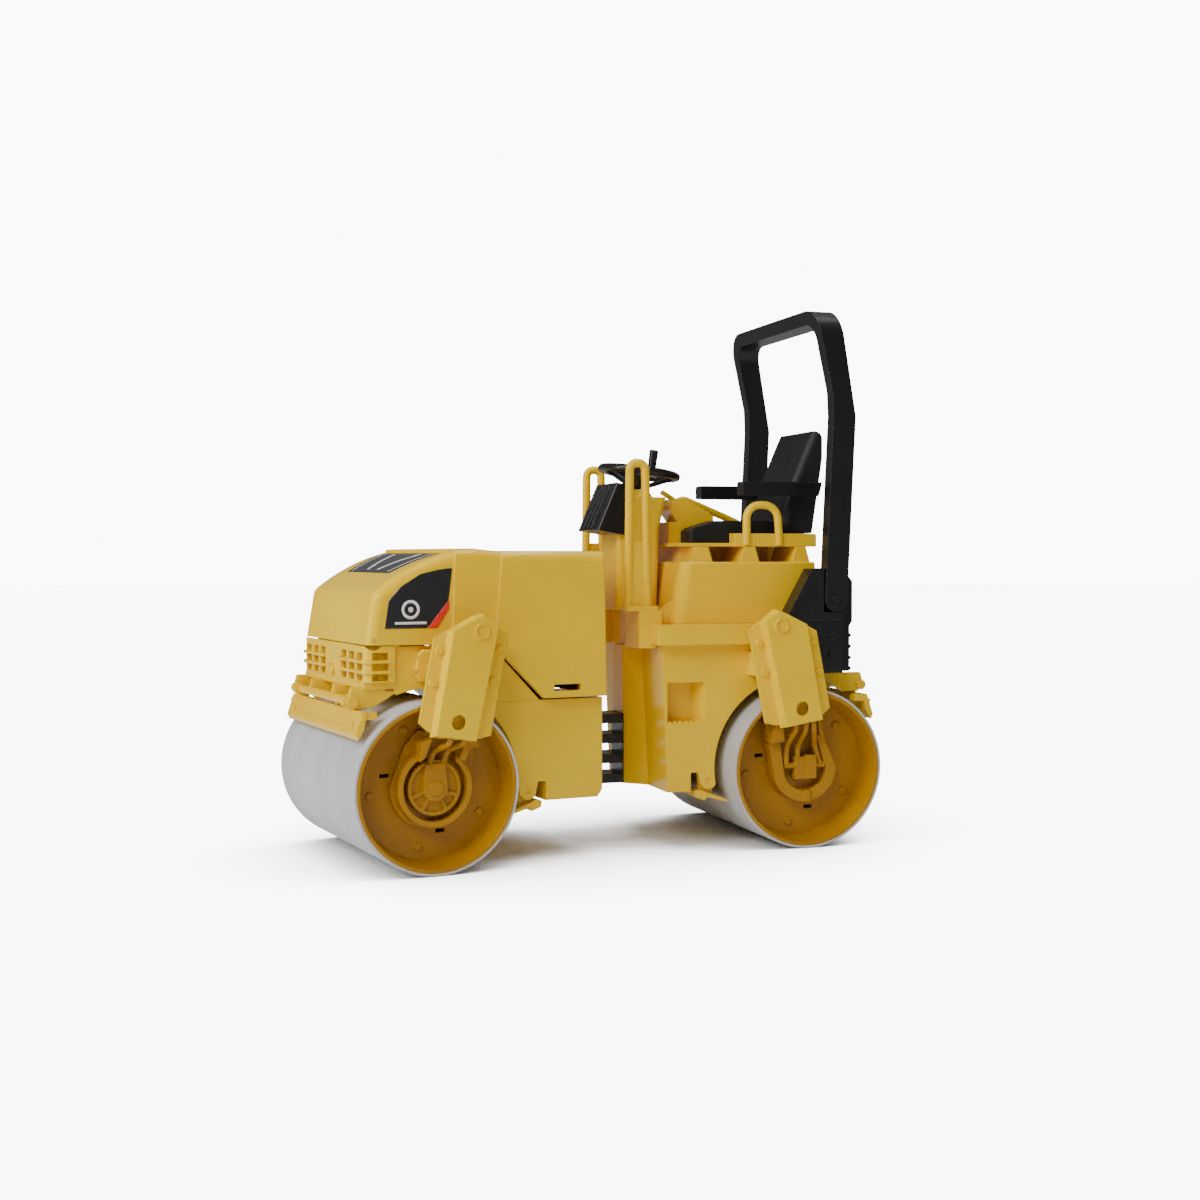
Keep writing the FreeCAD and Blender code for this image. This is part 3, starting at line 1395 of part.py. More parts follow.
tray_base = outline("TrayBase", "YZ_Plane", [
    ("tray_front", "tray_floor"),
    ("tray_rear", "tray_floor"),
    ("tray_rear", "tray_top - 0.6"),
    ("tray_rear - 0.6", "tray_top"),
    ("tray_front", "tray_top"),
], "-tray_half", "tray_half")
tray_lip = block("TrayLip", ("-tray_half + 3", "tray_half - 3"), ("lip_front", "tray_front + 1"),
                 ("tray_floor", "lip_top"))
guide = block("SeatGuide", ("-guide_half", "guide_half"),
              ("guide_start", "guide_start + guide_length"),
              ("tray_floor - guide_depth", "tray_floor + 1"))
cushion_room = block("CushionRoom", ("-cushion_half - 0.3", "cushion_half + 0.3"),
                     ("cushion_front - 0.3", "101"), ("lip_top", "tray_top + 5"))
back_room = block("BackRoom", ("-back_half - 0.3", "back_half + 0.3"), ("100", "tray_rear - 1.4"),
                  ("lip_top", "tray_top + 5"))
tray = cut("Tray", fuse("TrayFull", tray_base, tray_lip, guide), cushion_room, back_room)
seat_loop = tube("SeatLoop", [
    ("tray_half - 0.6", "loop_front", "tray_floor + 0.8"),
    ("tray_half - 0.6", "loop_front", "loop_top - loop_tube"),
    ("tray_half - 0.6", "loop_rear - 1.5", "loop_top - loop_tube"),
    ("tray_half - 0.6", "loop_rear", "tray_floor + 0.8"),
], "loop_tube", "7")
tray_whole = fuse("TrayWhole", tray, seat_loop)
subpart("seat_tray", tray_whole)

cushion = outline("Cushion", "YZ_Plane", [
    ("cushion_front", "lip_top"),
    ("cushion_front", "cushion_top - 5.2"),
    ("cushion_front + 2", "cushion_top - 3.6"),
    ("cushion_front + 14", "cushion_top"),
    ("99.6", "cushion_top"),
    ("99.6", "lip_top"),
], "-cushion_half", "cushion_half")
round_edges(cushion, "2.5", lambda edge: edge.CenterOfMass.y < number("cushion_front + 1")
            and abs(direction(edge).z) > 0.8)
lever_room = block("LeverRoom", ("-10.5", "10.5"), ("40", "72.5"), ("lip_top - 1", "cushion_top + 4"))
subpart("seat_cushion", cut("CushionCut", cushion, lever_room))

seat_back = outline("SeatBack", "YZ_Plane", [
    ("100", "lip_top"),
    ("112.8", "lip_top"),
    ("117.4", "155"),
    ("123.0", "193"),
    ("123.0", "202.4", "4.4"),
    ("118.6", "206.8"),
    ("115.4", "202.0"),
    ("106.2", "181"),
    ("101.2", "162"),
    ("100", "158"),
], "-back_half", "back_half")
round_edges(seat_back, "5", lambda edge: abs(edge.CenterOfMass.x) > number("back_half - 0.1")
            and edge.CenterOfMass.z > 165 and edge.CenterOfMass.y < 113)
back_lower = block("BackLower", ("-30", "30"), ("112.2", "130"), ("lip_top - 1", "tray_top + 0.3"))

guard = tube("Guard", [
    ("-27.6", "62.5", "tray_floor + 1"),
    ("-27.6", "58.6", "167.0"),
    ("-27.6", "64.0", "173.6"),
    ("-27.6", "98.6", "159.6"),
    ("-27.6", "104.0", "tray_floor + 3"),
], "1.9", "6")
subpart("guard_rail", cut("GuardCut", guard, tray_whole))

lever_box = outline("LeverBoxBody", "YZ_Plane", [
    ("44.5", "lip_top"),
    ("68.5", "lip_top"),
    ("68.5", "163.2"),
    ("53.5", "171.6"),
    ("47.0", "171.6"),
    ("44.8", "166.0"),
    ("49.2", "160.0"),
    ("44.5", "160.0"),
], "-8.5", "8.5")
box_ribs = [
    outline(f"BoxRib{place}", "YZ_Plane", [
        (f"54.4 + {place} * 2.7", f"170.4 - {place} * 1.512"),
        (f"55.8 + {place} * 2.7", f"169.6 - {place} * 1.512"),
        (f"56.4 + {place} * 2.7", f"170.6 - {place} * 1.512"),
        (f"55.0 + {place} * 2.7", f"171.5 - {place} * 1.512"),
    ], "-7.5", "7.5")
    for place in range(5)
]
lever = tube("Lever", [
    ("0", "52.0", "170.0"),
    ("0", "48.0", "172.8"),
    ("0", "43.4", "175.4"),
], "1.3", "3")
subpart("lever_box", fuse("LeverBox", lever_box, lever, *box_ribs))

rest = outline("ArmRest", "YZ_Plane", [
    ("arm_rest_front", "arm_rest_floor + 0.6"),
    ("arm_rest_front + 0.6", "arm_rest_floor"),
    ("arm_rest_rear - 1.6", "arm_rest_floor"),
    ("arm_rest_rear", "arm_rest_top - 1.6"),
    ("arm_rest_rear", "arm_rest_top"),
    ("arm_rest_front + 0.6", "arm_rest_top"),
    ("arm_rest_front", "arm_rest_top - 0.6"),
], "arm_rest_inner", "arm_rest_outer")
rest_spot = ("arm_rest_pin", "(arm_rest_floor + arm_rest_top) / 2")
rest_hole = rod("RestHole", "x", "arm_rest_inner - 1", "arm_rest_inner + 4", rest_spot,
                "1.6 + running_gap")
arm_rest = cut("ArmRestCut", rest, rest_hole)
subpart("armrest_left", arm_rest)
subpart("armrest_right", mirror("ArmRestRight", arm_rest))
rest_pin = rod("RestPin", "x", "back_half - 3", "arm_rest_inner + 3.5", rest_spot, "1.6")
subpart("seat_back", fuse("SeatBackWhole", cut("SeatBackCut", seat_back, back_lower),
                          both_sides("ArmRestPins", rest_pin)))

# ---- scrapers ----

upper_rod = rod("UpperRod", "x", "-upper_ear - upper_ear_wall / 2", "upper_ear + upper_ear_wall / 2",
                rod_spot, "upper_rod_radius")
rod_head = rod("RodHead", "x", "upper_ear + upper_ear_wall / 2",
               "upper_ear + upper_ear_wall / 2 + 1.3", rod_spot, "upper_rod_radius + 0.6")
scraper_rod = fuse("ScraperRod", upper_rod, both_sides("RodHeads", rod_head))
subpart("rear_scraper_rod", scraper_rod)
subpart("front_scraper_rod", mirror("FrontScraperRod", scraper_rod, Y_AXIS), True)

blade = outline("UpperBlade", "YZ_Plane", [
    ("130.0", "upper_blade_top"),
    ("131.6", "66.4"),
    ("134.4", "upper_blade_tip"),
    ("135.4", "64.3"),
    ("133.6", "70.0"),
    ("132.2", "upper_blade_top"),
], "-upper_blade_half", "upper_blade_half")
blade_panel = outline("BladePanel", "YZ_Plane", [
    ("132.9", "upper_blade_top - 1.6"),
    ("134.2", "66.6"),
    ("137.0", "67.4"),
    ("135.2", "upper_blade_top - 1.0"),
], "-upper_blade_half + 6.8", "upper_blade_half - 6.8")
blade_slot = block("BladeSlot", ("upper_blade_half - 9.6", "upper_blade_half - 8.2"),
                   ("125", "140"), ("66.4", "69.6"))
end_lug = outline("EndLug", "YZ_Plane", [
    ("125.2", "71.0"),
    ("133.4", "70.6"),
    ("132.2", "upper_blade_top"),
    ("125.6", "upper_blade_top - 0.2"),
], "upper_blade_half - 5.4", "upper_blade_half - 0.6")
peg = rod("Peg", "x", "upper_blade_half - 1", "upper_blade_half + 1.9", ("132.2", "71.4"), "0.9")
hinge_tab = outline("HingeTab", "YZ_Plane", [
    ("129.9", "upper_blade_top - 0.6"),
    ("132.2", "upper_blade_top - 0.6"),
    ("upper_pin_from_pivot + 3.0", "upper_pin_height - 1.6"),
    ("upper_pin_from_pivot + 3.0", "upper_pin_height + 1.4", "4.2"),
    ("upper_pin_from_pivot - 3.0", "upper_pin_height + 1.4"),
    ("upper_pin_from_pivot - 3.4", "upper_pin_height - 2.2"),
], "upper_ear - upper_ear_wall / 2 - 4.2", "upper_ear - upper_ear_wall / 2 - body_gap")
tab_hole = rod("TabHole", "x", "-60", "60", rod_spot, "upper_rod_radius + running_gap")
upper_scraper = cut(
    "UpperScraper",
    fuse("UpperScraperFull", cut("BladeCut", blade, blade_panel), both_sides("EndLugs", end_lug),
         both_sides("Pegs", peg), both_sides("HingeTabs", hinge_tab)),
    both_sides("BladeSlots", blade_slot),
    tab_hole,
)
subpart("rear_upper_scraper", upper_scraper)
subpart("front_upper_scraper", mirror("FrontUpperScraper", upper_scraper, Y_AXIS), True)


def lower_scraper(prefix, heading, pin, front):
    """A flat blade under the lobes, on two pins, with an ear beside each lobe."""
    def at(offset):
        return f"{heading} * ({pin} + ({offset}))"

    profile = [
        (at("-7.2"), "28.2"),
        (at("-4.9"), "28.9"),
        (at("9.6"), "23.6"),
        (at("9.6"), "22.3"),
        (at("-0.6"), "25.2"),
        (at("-2.0"), "23.6"),
        (at("-6.6"), "25.2"),
    ]
    flat = outline(f"{prefix}LowerBlade", "YZ_Plane", profile, "-lower_blade_half",
                   "lower_blade_half")
    spot = (at("0"), "lobe_pin_height")
    ear_start = "side_half - lobe_wall - body_gap - 3"
    ear_end = "side_half - lobe_wall - body_gap"
    ear = fuse(
        f"{prefix}LowerEar",
        rod(f"{prefix}EarDisc", "x", ear_start, ear_end, spot, "3.4"),
        outline(f"{prefix}EarNeck", "YZ_Plane", [
            (at("-3.3"), "lobe_pin_height"),
            (at("-3.6"), "27.6"),
            (at("3.4"), "25.2"),
            (at("3.3"), "lobe_pin_height"),
        ], ear_start, ear_end),
    )
    hole = rod(f"{prefix}LowerHole", "x", "-60", "60", spot, "lobe_pin_radius + running_gap")
    whole = cut(f"{prefix}LowerScraper",
                fuse(f"{prefix}LowerFull", flat, both_sides(f"{prefix}LowerEars", ear)), hole)
    subpart(f"{prefix}_lower_scraper", whole, front)
    pin_rod = rod(f"{prefix}LowerPin", "x", "side_half - lobe_wall - 4.2", "side_half - 0.4", spot,
                  "lobe_pin_radius")
    subpart(f"{prefix}_lower_pins", both_sides(f"{prefix}LowerPins", pin_rod), front)


lower_scraper("front", "-1", "front_lobe", True)
lower_scraper("rear", "1", "rear_lobe", False)

# ---- steering joint ----

level = "(joint_roof - joint_floor) / joint_levels"


def joint_plates(prefix, heading, first, reach):
    """Every second plate of the stack round the steering pin."""
    plates = []
    for place in range(first, int(number("joint_levels")), 2):
        low = f"joint_floor + {place} * {level} + body_gap / 2"
        high = f"joint_floor + {place + 1} * {level} - body_gap / 2"
        near = f"min(0 ; {heading} * {reach})"
        far = f"max(0 ; {heading} * {reach})"
        disc = rod(f"{prefix}Disc{place}", "z", low, high, ("0", "0"), "joint_radius")
        arm = block(f"{prefix}Bar{place}", ("-joint_radius", "joint_radius"), (near, far),
                    (low, high))
        plates.append(fuse(f"{prefix}Plate{place}", disc, arm))
    back_near = f"min({heading} * {reach} ; {heading} * ({reach} - 0.4))"
    back_far = f"max({heading} * {reach} ; {heading} * ({reach} - 0.4))"
    back = block(f"{prefix}Back", ("-joint_radius", "joint_radius"), (back_near, back_far),
                 ("joint_floor", "joint_roof"))
    return fuse(f"{prefix}Stack", back, *plates)


pin_clear = rod("PinClear", "z", "0", "100", ("0", "0"), "joint_pin_radius + running_gap")
pin_tight = rod("PinTight", "z", "0", "100", ("0", "0"), "joint_pin_radius")
rear_joint = cut("RearJoint", joint_plates("RearJoint", "1", 0, "20"), pin_tight)
subpart("rear_joint_bracket", rear_joint)
front_joint = cut("FrontJoint", joint_plates("FrontJoint", "-1", 1, "front_end"), pin_clear)
subpart("front_joint_bracket", front_joint, True)
steering_pin = fuse(
    "SteeringPin",
    rod("PinShaft", "z", "joint_floor - 0.6", "joint_roof + 0.4", ("0", "0"), "joint_pin_radius"),
    rod("PinHead", "z", "joint_floor - 2.2", "joint_floor + body_gap / 2", ("0", "0"),
        "joint_pin_radius + 2.5"),
)
subpart("steering_pin", cut("SteeringPinCut", steering_pin, rear_joint))

# ---- check and write ----

doc.recompute()
for thing in doc.Objects:
    if "Invalid" in thing.State or "Error" in thing.State:
        raise RuntimeError(f"{thing.Name} failed: {thing.State}")
for piece in subparts:
    if piece.Shape.isNull() or not piece.Shape.isValid() or not piece.Shape.Solids:
        raise RuntimeError(f"{piece.Label} has no valid solid")
os.makedirs("parts", exist_ok=True)
for piece in subparts:
    piece.Shape.exportStep(f"parts/{piece.Label}.step")
print(f"{len(subparts)} sub-parts written")
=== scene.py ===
"""Looks of a toy road roller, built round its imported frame. Metres, in the row frame."""
import json
import math

import bmesh
import bpy
from mathutils import Matrix, Vector
from mathutils.bvhtree import BVHTree


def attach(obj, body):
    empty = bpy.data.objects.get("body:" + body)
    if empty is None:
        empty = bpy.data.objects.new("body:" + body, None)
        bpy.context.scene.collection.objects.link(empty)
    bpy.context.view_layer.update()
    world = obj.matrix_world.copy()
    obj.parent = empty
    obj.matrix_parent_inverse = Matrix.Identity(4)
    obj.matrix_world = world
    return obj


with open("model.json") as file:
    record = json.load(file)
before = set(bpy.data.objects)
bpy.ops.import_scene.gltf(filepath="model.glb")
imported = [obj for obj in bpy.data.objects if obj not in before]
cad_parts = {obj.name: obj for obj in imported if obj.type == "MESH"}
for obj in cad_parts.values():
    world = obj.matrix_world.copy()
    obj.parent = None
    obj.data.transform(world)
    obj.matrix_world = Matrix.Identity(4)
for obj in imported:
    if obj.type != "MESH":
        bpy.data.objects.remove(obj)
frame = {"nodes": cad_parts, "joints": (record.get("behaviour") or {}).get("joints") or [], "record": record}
bpy.ops.object.select_all(action="DESELECT")
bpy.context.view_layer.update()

# ---- yellow mouldings ----
# The chassis halves, deck, hood, arms and tray are glossy injection mouldings in
# yellow plastic, clipped and screwed together. The handrails and scrapers are
# thinner mouldings with sharper edges.


class Socket:
    """A shader socket that takes part in Python expressions."""

    def __init__(self, tree, out):
        self.tree = tree
        self.out = out

    def node(self, kind, out=0, settings=None, **inputs):
        """Any other node, with its inputs given by name or as i0, i1 and so on."""
        made = self.tree.nodes.new(kind)
        for name, value in (settings or {}).items():
            setattr(made, name, value)
        for name, value in inputs.items():
            where = int(name[1:]) if name[0] == "i" and name[1:].isdigit() else name.replace("_", " ")
            target = made.inputs[where]
            if isinstance(value, Socket):
                self.tree.links.new(value.out, target)
            else:
                target.default_value = value
        return Socket(self.tree, made.outputs[out])

    def math(self, what, *others):
        inputs = {f"i{place}": value for place, value in enumerate((self, *others))}
        return self.node("ShaderNodeMath", settings={"operation": what}, **inputs)

    def __add__(self, other):
        return self.math("ADD", other)

    __radd__ = __add__

    def __sub__(self, other):
        return self.math("SUBTRACT", other)

    def __rsub__(self, other):
        return self * -1.0 + other

    def __mul__(self, other):
        return self.math("MULTIPLY", other)

    __rmul__ = __mul__

    def ramp(self, low, high):
        """0 below low and 1 above high, smooth between them."""
        return self.node("ShaderNodeMapRange", settings={"interpolation_type": "SMOOTHSTEP"},
                         i0=self, i1=low, i2=high, i3=0.0, i4=1.0)

    def mix(self, first, second):
        """Colour first where this is 0 and second where it is 1."""
        return self.node("ShaderNodeMix", 2, {"data_type": "RGBA"}, i0=self, i6=first, i7=second)

    def noise(self, scale, detail=2.0):
        """Noise at this place, as a number round 0.5."""
        return self.node("ShaderNodeTexNoise", Vector=self, Scale=scale, Detail=detail)


def start(name):
    """A new material, its shader node and the piece's own coordinates."""
    made = bpy.data.materials.new(name)
    made.use_nodes = True
    tree = made.node_tree
    shader = tree.nodes["Principled BSDF"]
    place = Socket(tree, tree.nodes.new("ShaderNodeTexCoord").outputs["Object"])
    return made, shader, place


def feed(shader, name, socket):
    socket.tree.links.new(socket.out, shader.inputs[name])


def edges_of(place, radius):
    """The rounded normal, and how far a point is on an edge, from 0 to about 1."""
    rounded = place.node("ShaderNodeBevel", settings={"samples": 6}, Radius=radius)
    flat = Socket(place.tree, place.tree.nodes.new("ShaderNodeNewGeometry").outputs["Normal"])
    turned = place.node("ShaderNodeVectorMath", 1, {"operation": "DOT_PRODUCT"}, i0=rounded, i1=flat)
    return rounded, (1.0 - turned).ramp(0.01, 0.3)


def plastic(name, base, deep, worn, rough, grain, coat, edge=0.0006):
    """Moulded plastic with flow marks, a fine grain, scuffs and paler worn edges."""
    made, shader, place = start(name)
    rounded, on_edge = edges_of(place, edge)
    flow = place.noise(38.0, 3.0)
    cloud = place.noise(11.0, 1.0)
    scuff = place.noise(420.0, 4.0).ramp(0.62, 0.72) * place.noise(46.0, 2.0).ramp(0.52, 0.66)
    body = (flow * 0.5 + cloud * 0.5).ramp(0.36, 0.64).mix(deep, base)
    feed(shader, "Base Color", (on_edge * 0.45 + scuff * 0.18).mix(body, worn))
    feed(shader, "Roughness", rough + flow * 0.06 + scuff * 0.18 + on_edge * 0.05 - 0.03)
    pores = place.noise(2600.0, 2.0)
    bumped = place.node("ShaderNodeBump", Strength=grain, Distance=0.00012,
                        Height=pores + cloud * 0.8, Normal=rounded)
    feed(shader, "Normal", bumped)
    shader.inputs["Coat Weight"].default_value = coat
    shader.inputs["Coat Roughness"].default_value = 0.06
    shader.inputs["Specular IOR Level"].default_value = 0.26
    return made


yellow = plastic("yellow_plastic", (0.93, 0.60, 0.0, 1), (0.89, 0.55, 0.0, 1),
                 (1.0, 0.70, 0.01, 1), 0.20, 0.06, 0.12, 0.0008)
thin_yellow = plastic("trim_yellow", (0.92, 0.57, 0.0, 1), (0.87, 0.52, 0.0, 1),
                      (1.0, 0.68, 0.01, 1), 0.22, 0.06, 0.10, 0.0003)

# ---- drum caps, yokes, motors and hub caps ----
# The caps that close each drum, and what carries its axle, are moulded in the same
# plastic. Set deep in the drum, they take a darker copy of the yellow: painted shade.

# A copy of the yellow painted darker, as painted shade for the parts deep in the drums.
shaded_yellow = plastic("drum_yellow_painted_shade", (0.46, 0.215, 0.0, 1), (0.38, 0.165, 0.0, 1),
                       (0.70, 0.38, 0.003, 1), 0.28, 0.08, 0.06)

# ---- black mouldings, seat and engine ----
# The hoop, covers, dash and wheel are smooth black plastic. The seat is hard plastic
# with a leather-like grain, and the engine block is a matt dark moulding.

black = plastic("black_plastic", (0.012, 0.012, 0.013, 1), (0.008, 0.008, 0.009, 1),
                (0.06, 0.06, 0.062, 1), 0.32, 0.14, 0.2, 0.0007)
seat_black = plastic("seat_plastic", (0.016, 0.016, 0.017, 1), (0.010, 0.010, 0.011, 1),
                     (0.06, 0.06, 0.062, 1), 0.46, 0.40, 0.0, 0.0012)
dark = plastic("engine_plastic", (0.03, 0.03, 0.032, 1), (0.02, 0.02, 0.022, 1),
               (0.09, 0.09, 0.09, 1), 0.5, 0.2, 0.0)

# ---- drum skins ----
# Each skin is one light grey moulded tube. Rolling leaves fine rings round it and
# scuffs, and its rims are worn paler.


def drum_grey(name, turn):
    """Light grey drum skin with fine rings, rolled scuffs and a paler rim."""
    made, shader, place = start(name)
    rounded, on_edge = edges_of(place, 0.0004)
    straight = place.node("ShaderNodeVectorRotate", settings={"rotation_type": "Z_AXIS"},
                          Vector=place, Angle=-turn)
    across = straight.node("ShaderNodeSeparateXYZ", Vector=straight)
    ring = across.node("ShaderNodeCombineXYZ", X=across, Y=place.noise(9.0) * 0.004)
    rings = ring.noise(900.0, 3.0)
    bands = ring.noise(60.0, 2.0)
    patch = place.noise(24.0, 3.0)
    spots = place.noise(700.0, 3.0).ramp(0.64, 0.72) * patch.ramp(0.5, 0.62)
    body = (bands * 0.5 + patch * 0.5).ramp(0.35, 0.65).mix((0.50, 0.50, 0.505, 1),
                                                            (0.60, 0.60, 0.605, 1))
    feed(shader, "Base Color", (on_edge * 0.5 + spots * 0.2).mix(body, (0.72, 0.72, 0.72, 1)))
    feed(shader, "Roughness", 0.42 + rings * 0.10 + spots * 0.15)
    bumped = place.node("ShaderNodeBump", Strength=0.12, Distance=0.00012,
                        Height=rings * 0.7 + place.noise(2600.0) * 0.5, Normal=rounded)
    feed(shader, "Normal", bumped)
    return made

# ---- pins ----
# The steering pin and the axles are plain turned steel rods.


def pin_steel():
    """Bare pin with turned rings."""
    made, shader, place = start("pin_steel")
    rings = place.noise(1500.0, 2.0)
    shader.inputs["Metallic"].default_value = 1.0
    feed(shader, "Base Color", rings.mix((0.42, 0.42, 0.43, 1), (0.62, 0.62, 0.63, 1)))
    feed(shader, "Roughness", 0.28 + rings * 0.2)
    feed(shader, "Normal", place.node("ShaderNodeBump", Strength=0.15, Distance=0.0001,
                                      Height=rings))
    return made

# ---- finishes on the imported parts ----
# Every part takes the finish of its slot in the record, unless it is named here.

roll_axis = {joint["name"]: joint for joint in frame["joints"]}["front_roll"]["axis"]
front_turn = math.atan2(roll_axis[1], roll_axis[0])
by_slot = {"yellow": yellow, "black": black, "steel": pin_steel(), "dark": dark}
special = {
    "front_drum_skin": drum_grey("front_drum_grey", front_turn),
    "rear_drum_skin": drum_grey("rear_drum_grey", 0.0),
    "seat_cushion": seat_black,
    "seat_back": seat_black,
}
# Drum caps, yokes, motors and hub caps get the darker yellow with its painted shade.
for end in ("front", "rear"):
    for side in ("left", "right"):
        special[f"{end}_drum_cap_{side}"] = shaded_yellow
    for part in ("fork_yoke", "ring_yoke", "drum_motor", "hub_cap"):
        special[f"{end}_{part}"] = shaded_yellow
    for part in ("scraper_rod", "upper_scraper", "lower_scraper", "lower_pins", "arm_bolts"):
        special[f"{end}_{part}"] = thin_yellow
for part in ("handrail_left", "handrail_right", "guard_rail", "lever_box", "hose_covers"):
    special[part] = thin_yellow
slots = {entry["node"]: entry["material_slot"] for entry in frame["record"]["subparts"]}
for name, node in frame["nodes"].items():
    made = special.get(name) or by_slot[slots[name]]
    if not node.material_slots:
        node.data.materials.append(made)
    for place in node.material_slots:
        place.material = made

# ---- stickers on the hood ----
# Thin printed films lie on the hood's sides and on its sloping front. They carry
# only plain shapes: a panel, a slash, a ring with a dot over a line, and stripes.


def printed(name, colour, rough):
    """Sticker film with a slight orange peel."""
    made, shader, place = start(name)
    peel = place.noise(900.0, 2.0)
    spread = tuple(part * 1.12 for part in colour[:3]) + (1,)
    feed(shader, "Base Color", place.noise(60.0, 2.0).ramp(0.4, 0.6).mix(colour, spread))
    feed(shader, "Roughness", rough + peel * 0.08)
    feed(shader, "Normal", place.node("ShaderNodeBump", Strength=0.08, Distance=0.0001,
                                      Height=peel))
    shader.inputs["Coat Weight"].default_value = 0.4
    shader.inputs["Coat Roughness"].default_value = 0.1
    return made


film_black = printed("film_black", (0.012, 0.012, 0.013, 1), 0.22)
film_red = printed("film_red", (0.78, 0.028, 0.012, 1), 0.26)
film_white = printed("film_white", (0.78, 0.78, 0.78, 1), 0.28)

hood_tree = BVHTree.FromObject(frame["nodes"]["hood_shell"],
                               bpy.context.evaluated_depsgraph_get())
to_row = Matrix.Rotation(front_turn, 4, "Z")
film_thickness = 0.00006
search_start = 0.05     # how far outside a point the search for the hood's skin begins
beside_hood = 0.06
above_hood = 0.16
panel_lift = 0.00004    # each film lies on the one below it
stripe_lift = 0.00012
sign_lift = 0.00016


def between(line, height):
    """The y of a line of (y, z) points at this z."""
    for (y0, z0), (y1, z1) in zip(line, line[1:]):
        if z0 <= height <= z1:
            return y0 + (y1 - y0) * (height - z0) / (z1 - z0)
    return line[-1][0] if height > line[-1][1] else line[0][0]


def film(name, rows, inward, lift, made):
    """A thin sheet laid on the hood: rows of points in the straight front half's frame."""
    mesh = bpy.data.meshes.new(name)
    builder = bmesh.new()
    towards = (to_row @ Vector(inward)).normalized()
    grid = []
    for row in rows:
        line = []
        for point in row:
            place, normal, _, _ = hood_tree.ray_cast(to_row @ Vector(point) - towards * search_start,
                                                   towards)
            if normal.dot(towards) > 0:
                normal = -normal
            line.append(builder.verts.new(place + normal * lift))
        grid.append(line)
    for low, high in zip(grid, grid[1:]):
        for corner in range(len(low) - 1):
            builder.faces.new((low[corner], low[corner + 1], high[corner + 1], high[corner]))
    bmesh.ops.recalc_face_normals(builder, faces=builder.faces)
    outward = sum((face.normal for face in builder.faces), Vector())
    if outward.dot(towards) > 0:
        bmesh.ops.reverse_faces(builder, faces=builder.faces)
    builder.to_mesh(mesh)
    builder.free()
    piece = bpy.data.objects.new(name, mesh)
    bpy.context.scene.collection.objects.link(piece)
    thick = piece.modifiers.new("thick", "SOLIDIFY")
    thick.thickness = film_thickness
    thick.offset = 1
    mesh.materials.append(made)
    for face in mesh.polygons:
        face.use_smooth = True
    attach(piece, "hood")
    return piece


panel_low, panel_high = 0.1103, 0.1374
slash_high = 0.1228
panel_front = [(-0.1197, 0.1103), (-0.1178, 0.1230), (-0.1122, 0.1290), (-0.1027, 0.1348),
               (-0.0926, 0.1370), (-0.0884, 0.1374)]
panel_rear = [(-0.0999, 0.1103), (-0.0899, 0.1197), (-0.0888, 0.1274), (-0.0876, 0.1374)]
slash_front = [(-0.0995, 0.1103), (-0.0895, 0.1228)]
slash_rear = [(-0.0949, 0.1103), (-0.0893, 0.1185), (-0.0889, 0.1228)]
sign_centre = (-0.1075, 0.1188)
ring_outer, ring_inner = 0.0043, 0.0030
dot_outer, dot_inner = 0.0012, 0.0002
ground_front, ground_rear = -0.1150, -0.1000
ground_low, ground_high = 0.1122, 0.1133


def side_rows(side, front, rear, low, high, steps, across):
    """Rows up the side of the hood between a front line and a rear line."""
    rows = []
    for step in range(steps + 1):
        height = low + (high - low) * step / steps
        near, far = between(front, height), between(rear, height)
        rows.append([(side * beside_hood, near + (far - near) * part / across, height)
                     for part in range(across + 1)])
    return rows


def ring_rows(side, centre, outer, inner, sectors=48):
    """A ring on the side of the hood."""
    rows = []
    for sector in range(sectors + 1):
        angle = math.tau * sector / sectors
        rows.append([(side * beside_hood, centre[0] + radius * math.cos(angle),
                      centre[1] + radius * math.sin(angle)) for radius in (inner, outer)])
    return rows


for side, word in ((1, "left"), (-1, "right")):
    inward = (-side, 0, 0)
    panel = side_rows(side, panel_front, panel_rear, panel_low, panel_high, 40, 30)
    slash = side_rows(side, slash_front, slash_rear, panel_low, slash_high, 16, 8)
    ring = ring_rows(side, sign_centre, ring_outer, ring_inner)
    dot = ring_rows(side, sign_centre, dot_outer, dot_inner)
    ground = side_rows(side, [(ground_front, 0.1), (ground_front, 0.2)],
                       [(ground_rear, 0.1), (ground_rear, 0.2)], ground_low, ground_high, 2, 16)
    pieces = [
        film(f"side_panel_{word}", panel, inward, panel_lift, film_black),
        film(f"side_slash_{word}", slash, inward, stripe_lift, film_red),
        film(f"side_ring_{word}", ring, inward, sign_lift, film_white),
        film(f"side_dot_{word}", dot, inward, sign_lift, film_white),
        film(f"side_ground_{word}", ground, inward, sign_lift, film_white),
    ]


def top_rows(front, rear, half_front, half_rear, steps=26, across=30):
    """Rows across the hood's top, from one half width to another."""
    rows = []
    for step in range(steps + 1):
        part = step / steps
        deep = front + (rear - front) * part
        half = half_front + (half_rear - half_front) * part
        rows.append([(half * (2 * spot / across - 1), deep, above_hood) for spot in range(across + 1)])
    return rows


def stripe_rows(low, high, width, steps=24):
    """A stripe across the top from one point to another."""
    rows = []
    for step in range(steps + 1):
        part = step / steps
        centre = Vector(low).lerp(Vector(high), part)
        rows.append([(centre.x + shift, centre.y, above_hood) for shift in (-width / 2, width / 2)])
    return rows


down = (0, 0, -1)
line_width = 0.0012
bar_width = 0.0034
top_panel = top_rows(-0.1115, -0.0895, 0.0315, 0.0375)
top_pieces = [film("top_panel", top_panel, down, panel_lift, film_black)]
for side, word in ((1, "left"), (-1, "right")):
    line = stripe_rows((side * 0.0265, -0.1105), (side * 0.0330, -0.0900), line_width)
    bar = stripe_rows((side * 0.0070, -0.1090), (side * 0.0180, -0.0915), bar_width)
    top_pieces.append(film(f"top_line_{word}", line, down, stripe_lift, film_white))
    top_pieces.append(film(f"top_bar_{word}", bar, down, stripe_lift, film_white))
